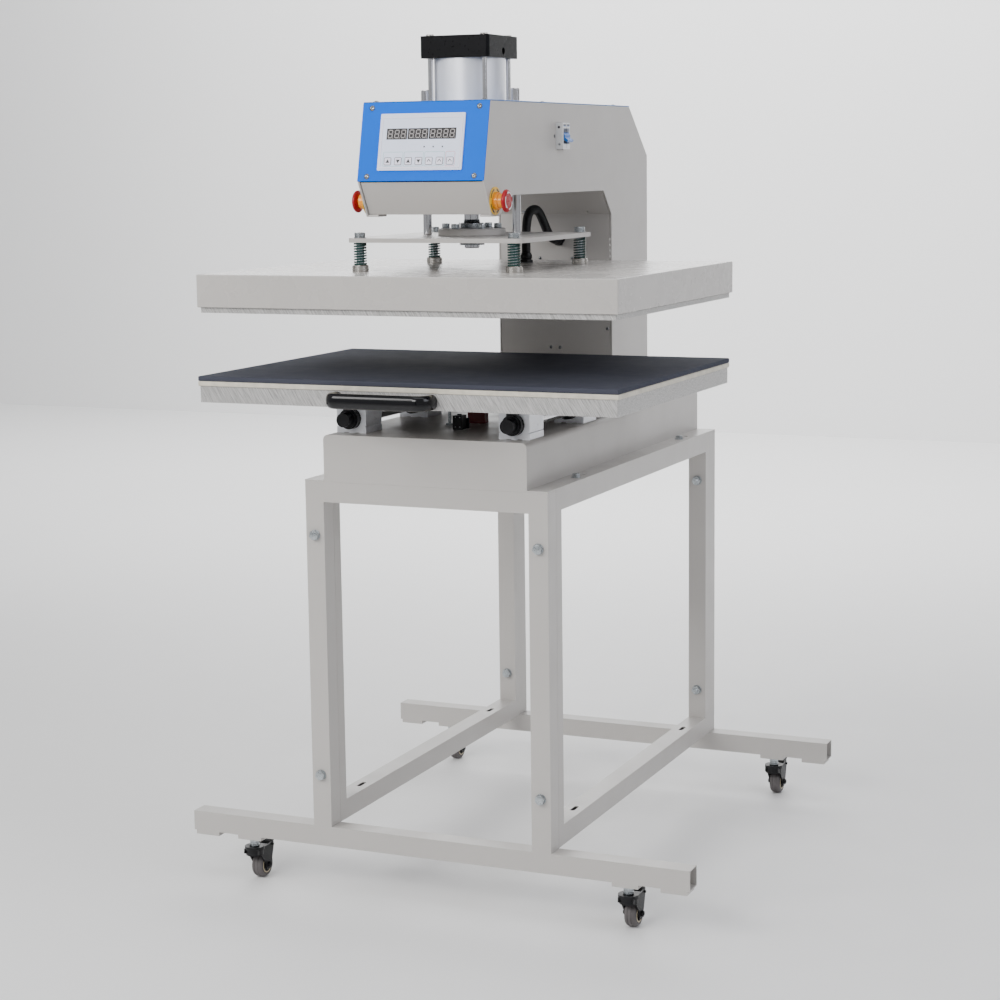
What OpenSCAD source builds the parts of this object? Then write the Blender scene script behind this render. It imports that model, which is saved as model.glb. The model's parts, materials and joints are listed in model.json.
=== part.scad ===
// Pneumatic slide-out heat press on a wheeled stand.
// Inside the modules X runs to the right, Y from the front face of the stand to the back
// and Z up from the floor. place() moves all of it so that the origin is on the floor,
// under the middle of the whole machine. Millimetres.

/* [Stand] */
// Side of the square steel tube
tube = 38; // [30:1:50]
// Wall of the square steel tube
tube_wall = 2; // [1.5:0.5:4]
// Length of each foot bar
foot_l = 1010; // [840:5:1300]
// Width over the two posts
frame_w = 484; // [400:2:600]
// Height of the top of the stand
frame_top = 788; // [560:2:960]
// Depth of the side frames' upright tubes
side_upright_d = 25; // [20:1:38]
// Length of the pads under the foot bars
pad_l = 50; // [40:1:70]
// Thickness of the pads under the foot bars
foot_pad_t = 8; // [5:1:12]
// Distance of the outer pads from the bar's end
pad_inset = 5; // [2:1:20]
// Radius of the hole in the outer pads
level_hole_r = 5.1; // [4:0.1:7]
// Distance of the frame bolts from the top rail and from the foot bar
bolt_inset = 100; // [60:5:160]
// Diameter of the frame bolts
bolt_d = 10; // [8:1:12]
// Distance of the shelf slots from the front and the back of the stand
slot_inset = 162; // [120:2:240]
// Length of a shelf slot
slot_l = 30; // [20:1:50]
// Width of a shelf slot
slot_w = 9; // [6:1:12]

/* [Casters] */
// Distance of the swivel axis from the end of the foot bar
caster_inset = 122; // [90:1:170]
// Diameter of the wheel
wheel_d = 50; // [40:1:60]
// Width of the wheel
wheel_w = 22; // [16:1:26]
// Distance of the axle behind the swivel axis
trail = 27; // [20:1:34]
// Diameter of the axle
axle_d = 6; // [5:0.5:8]
// Height of the stem above the fork
stem_h = 20; // [16:1:30]
// Length of the brake pedal
pedal_l = 21; // [16:1:30]

/* [Base housing] */
// Width of the housing's flange
flange_w = 40; // [32:1:50]
// Height of the housing above the stand
base_h = 87.5; // [60:0.5:130]
// Thickness of the housing's sheet
base_t = 2; // [1.5:0.1:3]
// Bend radius along the top edges
base_r = 10; // [4:1:16]
// Thickness of the flange
flange_t = 3; // [2:0.5:5]
// Distance of the flange bolts from the front and the back
flange_bolt_inset = 182; // [120:2:260]

/* [Slide rails] */
// Distance of each shaft from the side of the housing
rail_inset = 39.4; // [34:0.2:50]
// Diameter of the shafts
shaft_d = 25; // [16:1:30]
// Width of a bearing block
block_w = 60; // [50:1:70]
// Length of a bearing block
block_l = 65; // [50:1:80]
// Gap between a bearing block and the platen
block_gap = 8; // [5:0.5:12]
// Front face of the front bearing block
block_y = 38; // [30:1:50]
// Distance between the two blocks of a rail
block_pitch = 262; // [210:2:310]
// Thickness of a shaft hanger
hanger_t = 12; // [8:1:16]
// Wall of a shaft hanger's ring
hanger_wall = 6.5; // [4:0.5:8]

/* [Lower platen] */
// Width of the aluminium platen
platen_w = 812; // [660:2:980]
// Depth of the aluminium platen
platen_d = 604; // [500:2:730]
// Thickness of the aluminium platen
platen_t = 30; // [24:1:40]
// Front face of the platen, ahead of the stand
platen_front = 87; // [70:1:110]
// Gap between the housing and the underside of the platen
platen_gap = 62; // [56:0.5:76]
// Thickness of the felt backing
backing_t = 9; // [5:0.5:12]
// Thickness of the rubber pad
rubber_t = 9; // [5:0.5:12]
// Overhang of the two pads
pad_over = 3; // [0:0.5:5]

/* [Pull handle] */
// Length of the handle
handle_l = 208; // [172:2:300]
// Offset of the handle from the middle
handle_x = -32; // [-45:1:40]
// Reach of the handle ahead of the platen
handle_reach = 45; // [36:1:60]
// Height of the grip
grip_h = 28; // [23:1:34]
// Depth of the grip
grip_d = 18; // [14:1:22]

/* [Heated platen] */
// Overhang of the cover beyond the lower platen, on each side
cover_side = 1.5; // [0:0.5:10]
// Overhang of the cover beyond the lower platen, at the back
cover_back = 26; // [0:1:40]
// Height of the cover
cover_h = 59.5; // [50:0.5:80]
// Thickness of the cover's sheet
cover_t = 2; // [1.5:0.1:3]
// Opening between the rubber pad and the heating plate
press_gap = 115; // [90:1:140]
// Thickness of the heating plate
heat_t = 35; // [25:1:42]
// Height of the heating plate below the cover
heat_drop = 10; // [5:0.5:15]
// Inset of the heating plate from the cover's outside
heat_inset = 5; // [4:0.5:8]
// Thickness of the insulation board
insulation_t = 14; // [8:0.5:17]

/* [Head and column] */
// Distance from the axis of a guide rod to the head's side
head_margin = 33; // [27:0.5:45]
// Thickness of a side plate
plate_t = 4; // [3:0.5:6]
// Thickness of the sheet covers
sheet_t = 2; // [1.5:0.1:3]
// Distance from the coupling flange up to the head's underside
head_gap = 62; // [50:1:100]
// Height of the head above its underside
head_h = 166; // [138:1:200]
// Distance from the heated platen back to the column
throat_gap = 93; // [75:1:140]
// Depth of the column
column_d = 211; // [170:1:255]
// Distance from the column to the back of the stand
column_inset = 98; // [60:1:140]
// Thickness of the bearing plate
bearing_t = 12; // [8:1:15]

/* [Cylinder] */
// Width of the square caps
cap_w = 137; // [114:1:165]
// Height of a cap
cap_h = 40; // [33:1:48]
// Wall of the barrel
barrel_wall = 3; // [2:0.5:5]
// Length of the barrel beyond the press opening
barrel_spare = 80.5; // [66:0.5:100]
// Diameter of the tie rods
tie_d = 9.4; // [7.8:0.2:11.4]
// Diameter of the piston rod
rod_d = 28; // [22:1:34]
// Radius of the air port
port_r = 6.6; // [5:0.1:8]
// Depth of the air port
port_l = 14; // [8:1:17]

/* [Carriage] */
// Width of the pressure plate
press_w = 348; // [290:2:420]
// Depth of the pressure plate
press_d = 345; // [287:2:415]
// Thickness of the pressure plate
press_t = 8; // [6:0.5:12]
// Diameter of the guide rods
guide_d = 16; // [12:1:20]
// Distance of a guide rod's axis from the cylinder's caps
guide_gap = 22.5; // [20:0.5:28]
// Length of the guide rods above their bushings with the press shut
guide_spare = 29.5; // [20:0.5:60]
// Diameter of the coupling flange
coupling_d = 126; // [100:1:140]
// Thickness of the coupling flange
coupling_t = 13; // [8:1:16]

/* [Suspension] */
// Distance of the springs from the left and right of the pressure plate
spring_inset_x = 21.2; // [18:0.2:30]
// Distance of the springs from the front and back of the pressure plate
spring_inset_y = 14; // [12:0.5:30]
// Outer diameter of the springs
spring_d = 24; // [20:1:29]
// Length of the springs at rest
spring_l = 41; // [34:0.5:50]
// Diameter of the spring collars
collar_d = 30; // [25:1:36]
// Height of the spring collars
collar_h = 11.5; // [8:0.5:16]
// Diameter of the suspension bolts
hang_d = 10; // [8:1:12]

/* [Controls] */
// Distance of the control module from the left and right of the nose panel
module_side = 41.5; // [34:0.5:55]
// Distance of the control module from the top and bottom of the nose panel
module_edge = 20.3; // [16:0.1:30]
// Thickness of the control module
module_t = 3; // [2:0.5:5]
// Distance of the emergency stops from the front of the stand
estop_y = 53.5; // [52:0.5:60]
// Height of the emergency stops above the nose's underside
estop_h = 27.5; // [26:0.5:33]
// Diameter of the mushroom cap
mushroom_d = 40; // [34:1:48]
// Front edge of the breaker
breaker_y = 343; // [290:1:410]
// Distance from the head's top down to the breaker's middle
breaker_drop = 60.5; // [50:0.5:75]
// Width of the breaker
breaker_w = 36; // [30:1:43]
// Height of the breaker's nose
breaker_nose_h = 49; // [41:1:58]

/* [Conduit] */
// Outer diameter of the conduit
conduit_d = 18; // [14:1:21]

/* [Hidden] */
$fn = 64;
// Radial clearance of a running fit
fit = 0.05;
// Gap between neighbouring sheets and moving parts
clear = 0.5;
// Gap between parts of different bodies that rest on each other
rest_gap = 0.3;

// Heights, from the floor up
swivel_z = wheel_d / 2 + 40;
caster_h = swivel_z + stem_h;
foot_z = caster_h + foot_pad_t;
bar_top = foot_z + tube;
base_top = frame_top + base_h;
platen_z = base_top + platen_gap;
platen_top = platen_z + platen_t;
backing_top = platen_top + backing_t;
pad_top = backing_top + rubber_t;
heat_z = pad_top + press_gap;
cover_z = heat_z + heat_drop;
cover_top = cover_z + cover_h;
press_z = cover_top + collar_h + spring_l;
press_top = press_z + press_t;
coupling_top = press_top + coupling_t;
throat_z = coupling_top + head_gap;
head_top = throat_z + head_h;

// Depths, from the front of the stand back
platen_back = platen_d - platen_front;
cover_front = -platen_front;
cover_rear = platen_back + cover_back;
cover_d = cover_rear - cover_front;
press_y = (cover_front + cover_rear) / 2;
column_y = cover_rear + throat_gap;
column_back = column_y + column_d;
frame_d = column_back + column_inset;

// Widths
cover_w = platen_w + 2 * cover_side;
guide_x = cap_w / 2 + guide_gap;
head_w = 2 * (guide_x + head_margin);
base_w = frame_w - 2 * flange_w;
rail_x = base_w / 2 - rail_inset;
caster_x = foot_l / 2 - caster_inset;
level_x = foot_l / 2 - pad_inset - pad_l / 2;

// Stand
post_x = frame_w / 2 - tube / 2;
rear_y = frame_d - tube;
side_front = tube;
side_back = frame_d - tube;
bolt_z = [bar_top + bolt_inset, frame_top - bolt_inset];
bolt_fit = 0.25;
head_af = 17;
head_t = 6.5;
washer_t = 2;
nut_t = 8;
stem_r = 4.95;
stem_hole_r = 5.1;
flange_screw_r = 4;
flange_bolt_y = [flange_bolt_inset, frame_d - flange_bolt_inset];

// Housing and rails
block_h = platen_gap - block_gap;
shaft_z = base_top + block_h / 2;
block2_y = block_y + block_pitch;
hanger_y = [block_y - clear - hanger_t, block2_y - clear - hanger_t];
bush_r = shaft_d / 2 + 7.5;
hanger_r = shaft_d / 2 + hanger_wall;
drawer_travel = block_pitch - block_l - hanger_t - 5;
shaft_back = block2_y + block_l + drawer_travel + 15;

// Pull handle
handle_z = platen_z + platen_t / 2;
grip_y = -platen_front - handle_reach + grip_d / 2;
leg_r = 11;

// Head
nose_z = throat_z - 36;
chin_z = throat_z + 27;
inner_x = head_w / 2 - plate_t;
cover_half = inner_x - clear;
face_top_y = 40;
face_low_y = 8;
nose_low_y = 41;
nose_back_y = 75;
throat_y = 111;
chamfer = 44;
chamfer_h = 47;
back_chamfer = 106;
back_chamfer_h = 98;
lip = 20;
face_tilt = atan((face_top_y - face_low_y) / (head_top - chin_z));
face_len = norm([face_top_y - face_low_y, head_top - chin_z]);
chamfer_turn = 90 + atan(chamfer / chamfer_h);
screw_r = 2;
screw_hole_r = 2.2;
panel_screw_x = head_w / 2 - 19;
estop_z = nose_z + estop_h;
breaker_z = head_top - breaker_drop;
inlet_z = base_top + 45;

// Cylinder
bearing_top = throat_z + bearing_t;
bushing_h = 28;
bushing_r = guide_d / 2 + 6;
cap1_top = bearing_top + cap_h;
barrel_l = press_gap + barrel_spare;
cap2_z = cap1_top + barrel_l;
barrel_d = cap_w - 6;
bore_d = barrel_d - 2 * barrel_wall;
tie_pitch = cap_w - 29;
tie_depth = 20;
piston_t = 30;
piston_z = cap2_z - piston_t - 4;

// Carriage and suspension
nut_af = 44;
nut_h = 10;
rod_bottom = press_z - nut_h - 6;
guide_l = throat_z + bearing_t + bushing_h + press_gap + 8 + guide_spare - press_top;
spring_x = press_w / 2 - spring_inset_x;
spring_y = press_d / 2 - spring_inset_y;
hang_depth = 20;

// Control module
module_w = head_w - 2 * module_side;
module_h = face_len - 2 * module_edge;

// Emergency stops
skirt_r = 13;
skirt_top = 17;
plunger_r = 5;
plug_r = 11;

// Breaker
toggle_x = head_w / 2 + 9;
toggle_r = 7;
pivot_r = 1.5;

// Casters
cheek_t = 2.5;
cheek_x = wheel_w / 2 + 1.5;
swivel_head_r = 19;
pedal_pin_r = 2.5;
pedal_y = trail + 14;
pedal_z = wheel_d / 2 + 37;
pedal_end = pedal_y + pedal_l;

// Whole machine
front_most = -platen_front - handle_reach;
back_most = rear_y + tube / 2 + pedal_end;
y_mid = (front_most + back_most) / 2;

// Conduit, from the gland on the cover to the gland on the column
gland_x = 24;
gland_y = column_y - 206;
gland_h = 20;
wall_gland_x = 10;
wall_gland_z = cover_top + 37.5;
wall_gland_l = 18;
gland_r = conduit_d / 2 + 3;
conduit_sides = 12;
conduit_steps = 14;
run_y = column_y - wall_gland_l - gland_y;
arch_y = gland_y + 0.31 * run_y;
arch_z = cover_top + 101;
arch_x = 18;
arch_start = [
    [gland_x, gland_y, cover_top + gland_h + rest_gap],
    [gland_x, gland_y, cover_top + 78],
    [arch_x, gland_y + 0.09 * run_y, arch_z],
    [arch_x, arch_y, arch_z]
];
arch_end = [
    [arch_x, arch_y, arch_z],
    [arch_x, arch_y + 0.22 * run_y, arch_z],
    [wall_gland_x, column_y - wall_gland_l - 52, wall_gland_z],
    [wall_gland_x, column_y - wall_gland_l, wall_gland_z]
];

// ---------- helpers ----------

module place() {
    translate([0, -y_mid, 0])
        children();
}

// A box between two corners
module box(a, b) {
    translate(a)
        cube(b - a);
}

// A cylinder along X, Y or Z that starts at p
module rod_x(p, r, l) {
    translate(p)
        rotate([0, 90, 0])
            cylinder(r = r, h = l);
}

module rod_y(p, r, l) {
    translate(p)
        rotate([-90, 0, 0])
            cylinder(r = r, h = l);
}

module rod_z(p, r, l) {
    translate(p)
        cylinder(r = r, h = l);
}

// A hexagon head along Z, sized across its flats
module hex_z(p, af, h) {
    translate(p)
        cylinder(r = af / sqrt(3), h = h, $fn = 6);
}

// A profile drawn as [y, z] points, extruded along X from x0 to x1
module slab_x(points, x0, x1) {
    translate([x0, 0, 0])
        rotate([90, 0, 90])
            linear_extrude(height = x1 - x0)
                polygon(points);
}

// A flat plate with round corners
module round_plate(w, d, t, r) {
    linear_extrude(height = t)
        union() {
            square([w - 2 * r, d], center = true);
            square([w, d - 2 * r], center = true);
            for (sx = [-1, 1], sy = [-1, 1])
                translate([sx * (w / 2 - r), sy * (d / 2 - r)])
                    circle(r = r);
        }
}

// A slot along Y, cut straight down
module slot_y(p, l, w, h) {
    translate(p)
        linear_extrude(height = h)
            union() {
                square([w, l - w], center = true);
                for (s = [-1, 1])
                    translate([0, s * (l - w) / 2])
                        circle(r = w / 2);
            }
}

// ---------- stand ----------

module leg_frame(y0) {
    half = frame_w / 2;
    foot = foot_l / 2;
    y1 = y0 + tube;
    mid = y0 + tube / 2;
    difference() {
        union() {
            box([-foot, y0, foot_z], [foot, y1, bar_top]);
            for (s = [-1, 1]) {
                box([s * post_x - tube / 2, y0, bar_top], [s * post_x + tube / 2, y1, frame_top]);
                for (x = [s * caster_x, s * level_x])
                    box([x - pad_l / 2, y0, caster_h], [x + pad_l / 2, y1, foot_z]);
            }
            box([-half, y0, frame_top - tube], [half, y1, frame_top]);
        }
        box([-foot - 1, y0 + tube_wall, foot_z + tube_wall],
            [foot + 1, y1 - tube_wall, bar_top - tube_wall]);
        box([-half + tube_wall, y0 + tube_wall, frame_top - tube + tube_wall],
            [half - tube_wall, y1 - tube_wall, frame_top - tube_wall]);
        for (s = [-1, 1]) {
            box([s * post_x - tube / 2 + tube_wall, y0 + tube_wall, bar_top + tube_wall],
                [s * post_x + tube / 2 - tube_wall, y1 - tube_wall, frame_top - tube_wall]);
            for (z = bolt_z)
                rod_y([s * post_x, y0 - 1, z], bolt_d / 2 + bolt_fit, tube + 2);
            rod_z([s * caster_x, mid, caster_h - 1], stem_hole_r, foot_pad_t + tube_wall + 2);
            rod_z([s * level_x, mid, caster_h - 1], level_hole_r, foot_pad_t + tube_wall + 2);
        }
    }
}

module front_leg_frame() {
    color([0.74, 0.73, 0.71])
        place()
            leg_frame(0);
}

module rear_leg_frame() {
    color([0.74, 0.73, 0.71])
        place()
            leg_frame(rear_y);
}

module side_frame(s) {
    x0 = s * post_x - tube / 2;
    x1 = s * post_x + tube / 2;
    t = tube_wall;
    difference() {
        union() {
            box([x0, side_front, bar_top], [x1, side_back, bar_top + tube]);
            box([x0, side_front, frame_top - tube], [x1, side_back, frame_top]);
            box([x0, side_front, bar_top], [x1, side_front + side_upright_d, frame_top]);
            box([x0, side_back - side_upright_d, bar_top], [x1, side_back, frame_top]);
        }
        for (z = [bar_top, frame_top - tube])
            box([x0 + t, side_front + t, z + t], [x1 - t, side_back - t, z + tube - t]);
        for (y = [side_front, side_back - side_upright_d])
            box([x0 + t, y + t, bar_top + t], [x1 - t, y + side_upright_d - t, frame_top - t]);
        for (z = bolt_z, y = [side_front, side_back - side_upright_d])
            rod_y([s * post_x, y - 1, z], bolt_d / 2 + bolt_fit, side_upright_d + 2);
        for (y = [slot_inset, frame_d - slot_inset])
            slot_y([s * post_x, y, bar_top + tube - t - 1], slot_l, slot_w, t + 2);
        for (y = flange_bolt_y)
            rod_z([s * post_x, y, frame_top - t - 1], flange_screw_r + bolt_fit, t + 2);
    }
}

module side_frames() {
    color([0.74, 0.73, 0.71])
        place()
            for (s = [-1, 1])
                side_frame(s);
}

// A bolt along Y: head at y0, shank of length l in the direction dir, nut at the end
module frame_bolt(x, y0, z, l, dir) {
    translate([x, y0, z])
        rotate([dir > 0 ? -90 : 90, 0, 0])
            union() {
                translate([0, 0, -washer_t])
                    cylinder(r = bolt_d, h = washer_t);
                hex_z([0, 0, -washer_t - head_t], head_af, head_t);
                translate([0, 0, -washer_t])
                    cylinder(r = bolt_d / 2, h = washer_t + l + washer_t + 11);
                translate([0, 0, l])
                    cylinder(r = bolt_d, h = washer_t);
                hex_z([0, 0, l + washer_t], head_af, nut_t);
            }
}

// A short bolt along Z whose head stands on z
module flange_bolt(x, y, z) {
    rod_z([x, y, z - 14], flange_screw_r, 14.5);
    rod_z([x, y, z], 9, 1.6);
    hex_z([x, y, z + 1.6], 13, 5.5);
}

module frame_bolts() {
    grip = tube + side_upright_d;
    color([0.72, 0.72, 0.70])
        place() {
            for (s = [-1, 1], z = bolt_z) {
                frame_bolt(s * post_x, 0, z, grip, 1);
                frame_bolt(s * post_x, frame_d, z, grip, -1);
            }
            for (s = [-1, 1], y = flange_bolt_y)
                flange_bolt(s * post_x, y, frame_top + flange_t);
        }
}

// ---------- casters ----------

// Puts its children on the swivel axis of one caster: side is -1 or 1, row 0 front, 1 rear
module at_caster(side, row) {
    translate([side * caster_x, tube / 2 + row * rear_y, 0])
        children();
}

module caster_stem() {
    hex_z([0, 0, caster_h - 8], 16, 8);
    rod_z([0, 0, swivel_z - 6], stem_r, caster_h + foot_pad_t + tube_wall + 14 - swivel_z + 6);
    rod_z([0, 0, swivel_z - 10], 7, 4);
    rod_z([0, 0, swivel_z + 4.3], 10, caster_h - 8 - swivel_z - 4.3);
}

module caster_stems() {
    color([0.66, 0.68, 0.70])
        place()
            for (side = [-1, 1], row = [0, 1])
                at_caster(side, row)
                    caster_stem();
}

module cheek(x0) {
    axle_z = wheel_d / 2;
    difference() {
        union() {
            slab_x([[-15, swivel_z], [-16, swivel_z - 9], [0, swivel_z - 15], [trail - 10, axle_z + 3],
                    [trail + 8, axle_z - 6], [pedal_y + 6, pedal_z - 6],
                    [pedal_y + 6, pedal_z + 6], [pedal_y - 10, swivel_z]], x0, x0 + cheek_t);
            rod_x([x0, trail, axle_z], 10, cheek_t);
        }
        rod_x([x0 - 1, trail, axle_z], axle_d / 2, cheek_t + 2);
        rod_x([x0 - 1, pedal_y, pedal_z], pedal_pin_r + fit, cheek_t + 2);
    }
}

module fork() {
    axle_z = wheel_d / 2;
    difference() {
        union() {
            rod_z([0, 0, swivel_z - 2.5], swivel_head_r, 6.5);
            rod_z([0, 0, swivel_z - 13], swivel_head_r - 2, 11);
            box([-cheek_x - cheek_t, -15, swivel_z - 2.5],
                [cheek_x + cheek_t, pedal_y - 12, swivel_z]);
        }
        rod_z([0, 0, swivel_z - 5], stem_r + fit, 15);
        rod_z([0, 0, swivel_z - 14], swivel_head_r - 5, 11.5);
    }
    for (x0 = [-cheek_x - cheek_t, cheek_x])
        cheek(x0);
    rod_x([-cheek_x - cheek_t - 5, trail, axle_z], axle_d / 2, 2 * (cheek_x + cheek_t + 5));
    for (s = [-1, 1])
        translate([s * (cheek_x + cheek_t + 2), trail, axle_z])
            rotate([0, 90, 0])
                cylinder(r = 10 / sqrt(3), h = 4, center = true, $fn = 6);
}

module wheel() {
    axle_z = wheel_d / 2;
    tread_r = wheel_d / 2;
    half = wheel_w / 2;
    translate([0, trail, axle_z])
        rotate([0, 90, 0])
            rotate_extrude()
                polygon([[axle_d / 2 + fit, -half - 1], [6, -half - 1], [7, -half + 2],
                         [tread_r - 8, -half + 2], [tread_r - 7, -half], [tread_r - 3, -half],
                         [tread_r, -half + 4], [tread_r, half - 4], [tread_r - 3, half],
                         [tread_r - 7, half], [tread_r - 8, half - 2], [7, half - 2],
                         [6, half + 1], [axle_d / 2 + fit, half + 1]]);
}

module pedal() {
    w = cheek_x - clear;
    rod_x([-w, pedal_y, pedal_z], 5.5, 2 * w);
    rod_x([-cheek_x - cheek_t - 3, pedal_y, pedal_z], pedal_pin_r, 2 * (cheek_x + cheek_t + 3));
    slab_x([[pedal_y - 2, pedal_z + 1], [pedal_y + 8, pedal_z + 1.5],
            [pedal_end, pedal_z + 7], [pedal_end, pedal_z + 11],
            [pedal_y + 5, pedal_z + 7.5], [pedal_y - 2, pedal_z + 5.5]], -w, w);
}

module fork_at(side, row) {
    color([0.08, 0.08, 0.09])
        place()
            at_caster(side, row)
                fork();
}

module wheel_at(side, row) {
    color([0.30, 0.30, 0.31])
        place()
            at_caster(side, row)
                wheel();
}

module pedal_at(side, row) {
    color([0.08, 0.08, 0.09])
        place()
            at_caster(side, row)
                pedal();
}

// ---------- base housing and rails ----------

// The housing's cross-section, grown inwards by t
module base_section(t) {
    w = base_w / 2 - t;
    r = base_r - t;
    top = base_top - t;
    union() {
        translate([-w, frame_top])
            square([2 * w, top - r - frame_top]);
        translate([-w + r, frame_top])
            square([2 * (w - r), top - frame_top]);
        for (s = [-1, 1])
            translate([s * (w - r), top - r])
                circle(r = r);
    }
}

module base_housing() {
    half = frame_w / 2;
    color([0.77, 0.76, 0.74])
        place()
            difference() {
                union() {
                    translate([0, frame_d, 0])
                        rotate([90, 0, 0])
                            linear_extrude(height = frame_d)
                                base_section(0);
                    box([-half, 0, frame_top], [half, frame_d, frame_top + flange_t]);
                }
                translate([0, frame_d - base_t, 0])
                    rotate([90, 0, 0])
                        linear_extrude(height = frame_d - 2 * base_t)
                            base_section(base_t);
                box([-base_w / 2 + base_t, base_t, frame_top - 1],
                    [base_w / 2 - base_t, frame_d - base_t, frame_top + flange_t + 1]);
                for (s = [-1, 1], y = flange_bolt_y) {
                    rod_z([s * post_x, y, frame_top - 1], flange_screw_r + bolt_fit, flange_t + 2);
                    slot_y([s * post_x, y + 40, frame_top - 1], 24, 8, flange_t + 2);
                }
            }
}

module rail_block(x, y) {
    difference() {
        box([x - block_w / 2, y, base_top], [x + block_w / 2, y + block_l, base_top + block_h]);
        rod_y([x, y - 1, shaft_z], bush_r, block_l + 2);
        for (s = [-1, 1]) {
            box([x + s * (block_w / 2 - 1.5) - 1.5, y - 1, base_top + 12],
                [x + s * (block_w / 2 - 1.5) + 1.5, y + block_l + 1, base_top + 13.5]);
            box([x + s * 11 - 5, y - 1, base_top - 1], [x + s * 11 + 5, y + block_l + 1, base_top + 1.2]);
            rod_x([x + s * (block_w / 2 - 3) - 4, y + block_l / 2 + 6, base_top + 24], 2, 8);
        }
    }
}

module rail_blocks() {
    color([0.78, 0.78, 0.80])
        place()
            for (s = [-1, 1], y = [block_y, block2_y])
                rail_block(s * rail_x, y);
}

module bushing_y(x, y) {
    difference() {
        rod_y([x, y + 2, shaft_z], bush_r, block_l - 4);
        rod_y([x, y, shaft_z], shaft_d / 2 + fit, block_l);
    }
}

module guide_bushing(x) {
    difference() {
        union() {
            rod_z([x, press_y, throat_z], bushing_r, bearing_t + bushing_h);
            rod_z([x, press_y, bearing_top], bushing_r + 6, 7);
        }
        rod_z([x, press_y, throat_z - 1], guide_d / 2 + fit, bearing_t + bushing_h + 2);
    }
}

module linear_bushings() {
    color([0.62, 0.63, 0.65])
        place() {
            for (s = [-1, 1], y = [block_y, block2_y])
                bushing_y(s * rail_x, y);
            for (s = [-1, 1])
                guide_bushing(s * guide_x);
        }
}

module drawer_switch() {
    color([0.10, 0.10, 0.11])
        place() {
            box([-5, 140, base_top], [13, 164, base_top + 0.42 * platen_gap]);
            box([-9, 164, base_top], [17, 167, base_top + 0.32 * platen_gap]);
            rod_x([0, 152, base_top + 0.42 * platen_gap], 2.5, 8);
            rod_z([-41, 205, base_top], 7, 4);
            rod_z([-41, 205, base_top + 4], 3, platen_gap - 16);
            box([-22, 244, base_top], [14, 262, base_top + 0.55 * platen_gap]);
        }
}

// ---------- column and head ----------

side_outline = [
    [face_top_y, head_top], [face_low_y, chin_z], [nose_low_y, nose_z], [nose_back_y, nose_z],
    [throat_y, throat_z], [column_y - chamfer, throat_z], [column_y, throat_z - chamfer_h],
    [column_y, base_top], [column_back, base_top], [column_back, head_top - back_chamfer_h],
    [column_back - back_chamfer, head_top]
];

// One side plate with its turned-in flanges under the nose and at the foot
module side_plate(s) {
    x_out = head_w / 2;
    x_a = s > 0 ? inner_x : -x_out;
    f_a = s > 0 ? inner_x - lip : -inner_x;
    union() {
        slab_x(side_outline, x_a, x_a + plate_t);
        box([f_a, nose_low_y, nose_z], [f_a + lip, nose_back_y, nose_z + plate_t]);
        box([f_a, column_y + 10, base_top], [f_a + lip, column_back - 10, base_top + plate_t]);
    }
}

module estop_hole(s) {
    rod_x([s * (inner_x + plate_t / 2) - 10, estop_y, estop_z], plug_r + 0.3, 20);
}

module left_side_plate() {
    color([0.78, 0.77, 0.75])
        place()
            difference() {
                side_plate(-1);
                estop_hole(-1);
            }
}

module right_side_plate() {
    color([0.78, 0.77, 0.75])
        place()
            difference() {
                side_plate(1);
                estop_hole(1);
                box([inner_x - 1, breaker_y - clear, breaker_z - breaker_nose_h / 2 - clear],
                    [inner_x + plate_t + 1, breaker_y + breaker_w + clear,
                     breaker_z + breaker_nose_h / 2 + clear]);
                rod_x([inner_x - 1, breaker_y - 8, breaker_z], screw_hole_r, plate_t + 2);
            }
}

// Screw places on the column's front cover, as [x, z]; the first three are above the base
column_screws = [[-10, pad_top + 2], [10, pad_top + 2], [head_w / 2 - 10, pad_top + 42],
                 [-32, cover_top - 1], [38, cover_top - 1]];
// Holes on its slope, of which the left one has a screw
slope_holes = [-66, 74];

// Puts its children on the slope over the column, Z outwards
module on_chamfer() {
    translate([0, column_y, throat_z - chamfer_h])
        rotate([chamfer_turn, 0, 0])
            children();
}

module column_front_cover() {
    t = sheet_t;
    low = throat_z - chamfer_h;
    color([0.60, 0.59, 0.58])
        place()
            difference() {
                slab_x([[column_y, base_top], [column_y, low], [column_y - chamfer, throat_z],
                        [column_y - chamfer + 1.4 * t, throat_z], [column_y + t, low + 0.4 * t],
                        [column_y + t, base_top]], -cover_half, cover_half);
                for (p = column_screws)
                    rod_y([p.x, column_y - 1, p.y], screw_hole_r, t + 2);
                for (x = slope_holes)
                    on_chamfer()
                        translate([x, 6, -t - 1])
                            cylinder(r = screw_hole_r, h = t + 2);
                rod_y([wall_gland_x, column_y - 1, wall_gland_z], gland_r - 2, t + 2);
            }
}

module column_rear_cover() {
    t = sheet_t;
    z1 = head_top - back_chamfer_h;
    color([0.78, 0.77, 0.75])
        place()
            difference() {
                slab_x([[column_back, base_top], [column_back, z1],
                        [column_back - back_chamfer, head_top],
                        [column_back - back_chamfer - 1.5 * t, head_top],
                        [column_back - t, z1 - 1], [column_back - t, base_top]],
                       -cover_half, cover_half);
                rod_y([0, column_back - t - 1, inlet_z], 10, t + 2);
                for (i = [0:6])
                    box([-50, column_back - t - 1, base_top + 250 + 12 * i],
                        [50, column_back + 1, base_top + 254 + 12 * i]);
            }
}

// Screw places on the head's top cover, as [x, y]
top_screws = [for (s = [-1, 1], y = [face_top_y + 14, column_y - 316, column_y + 58])
                  [s * (head_w / 2 - 18), y]];

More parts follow.
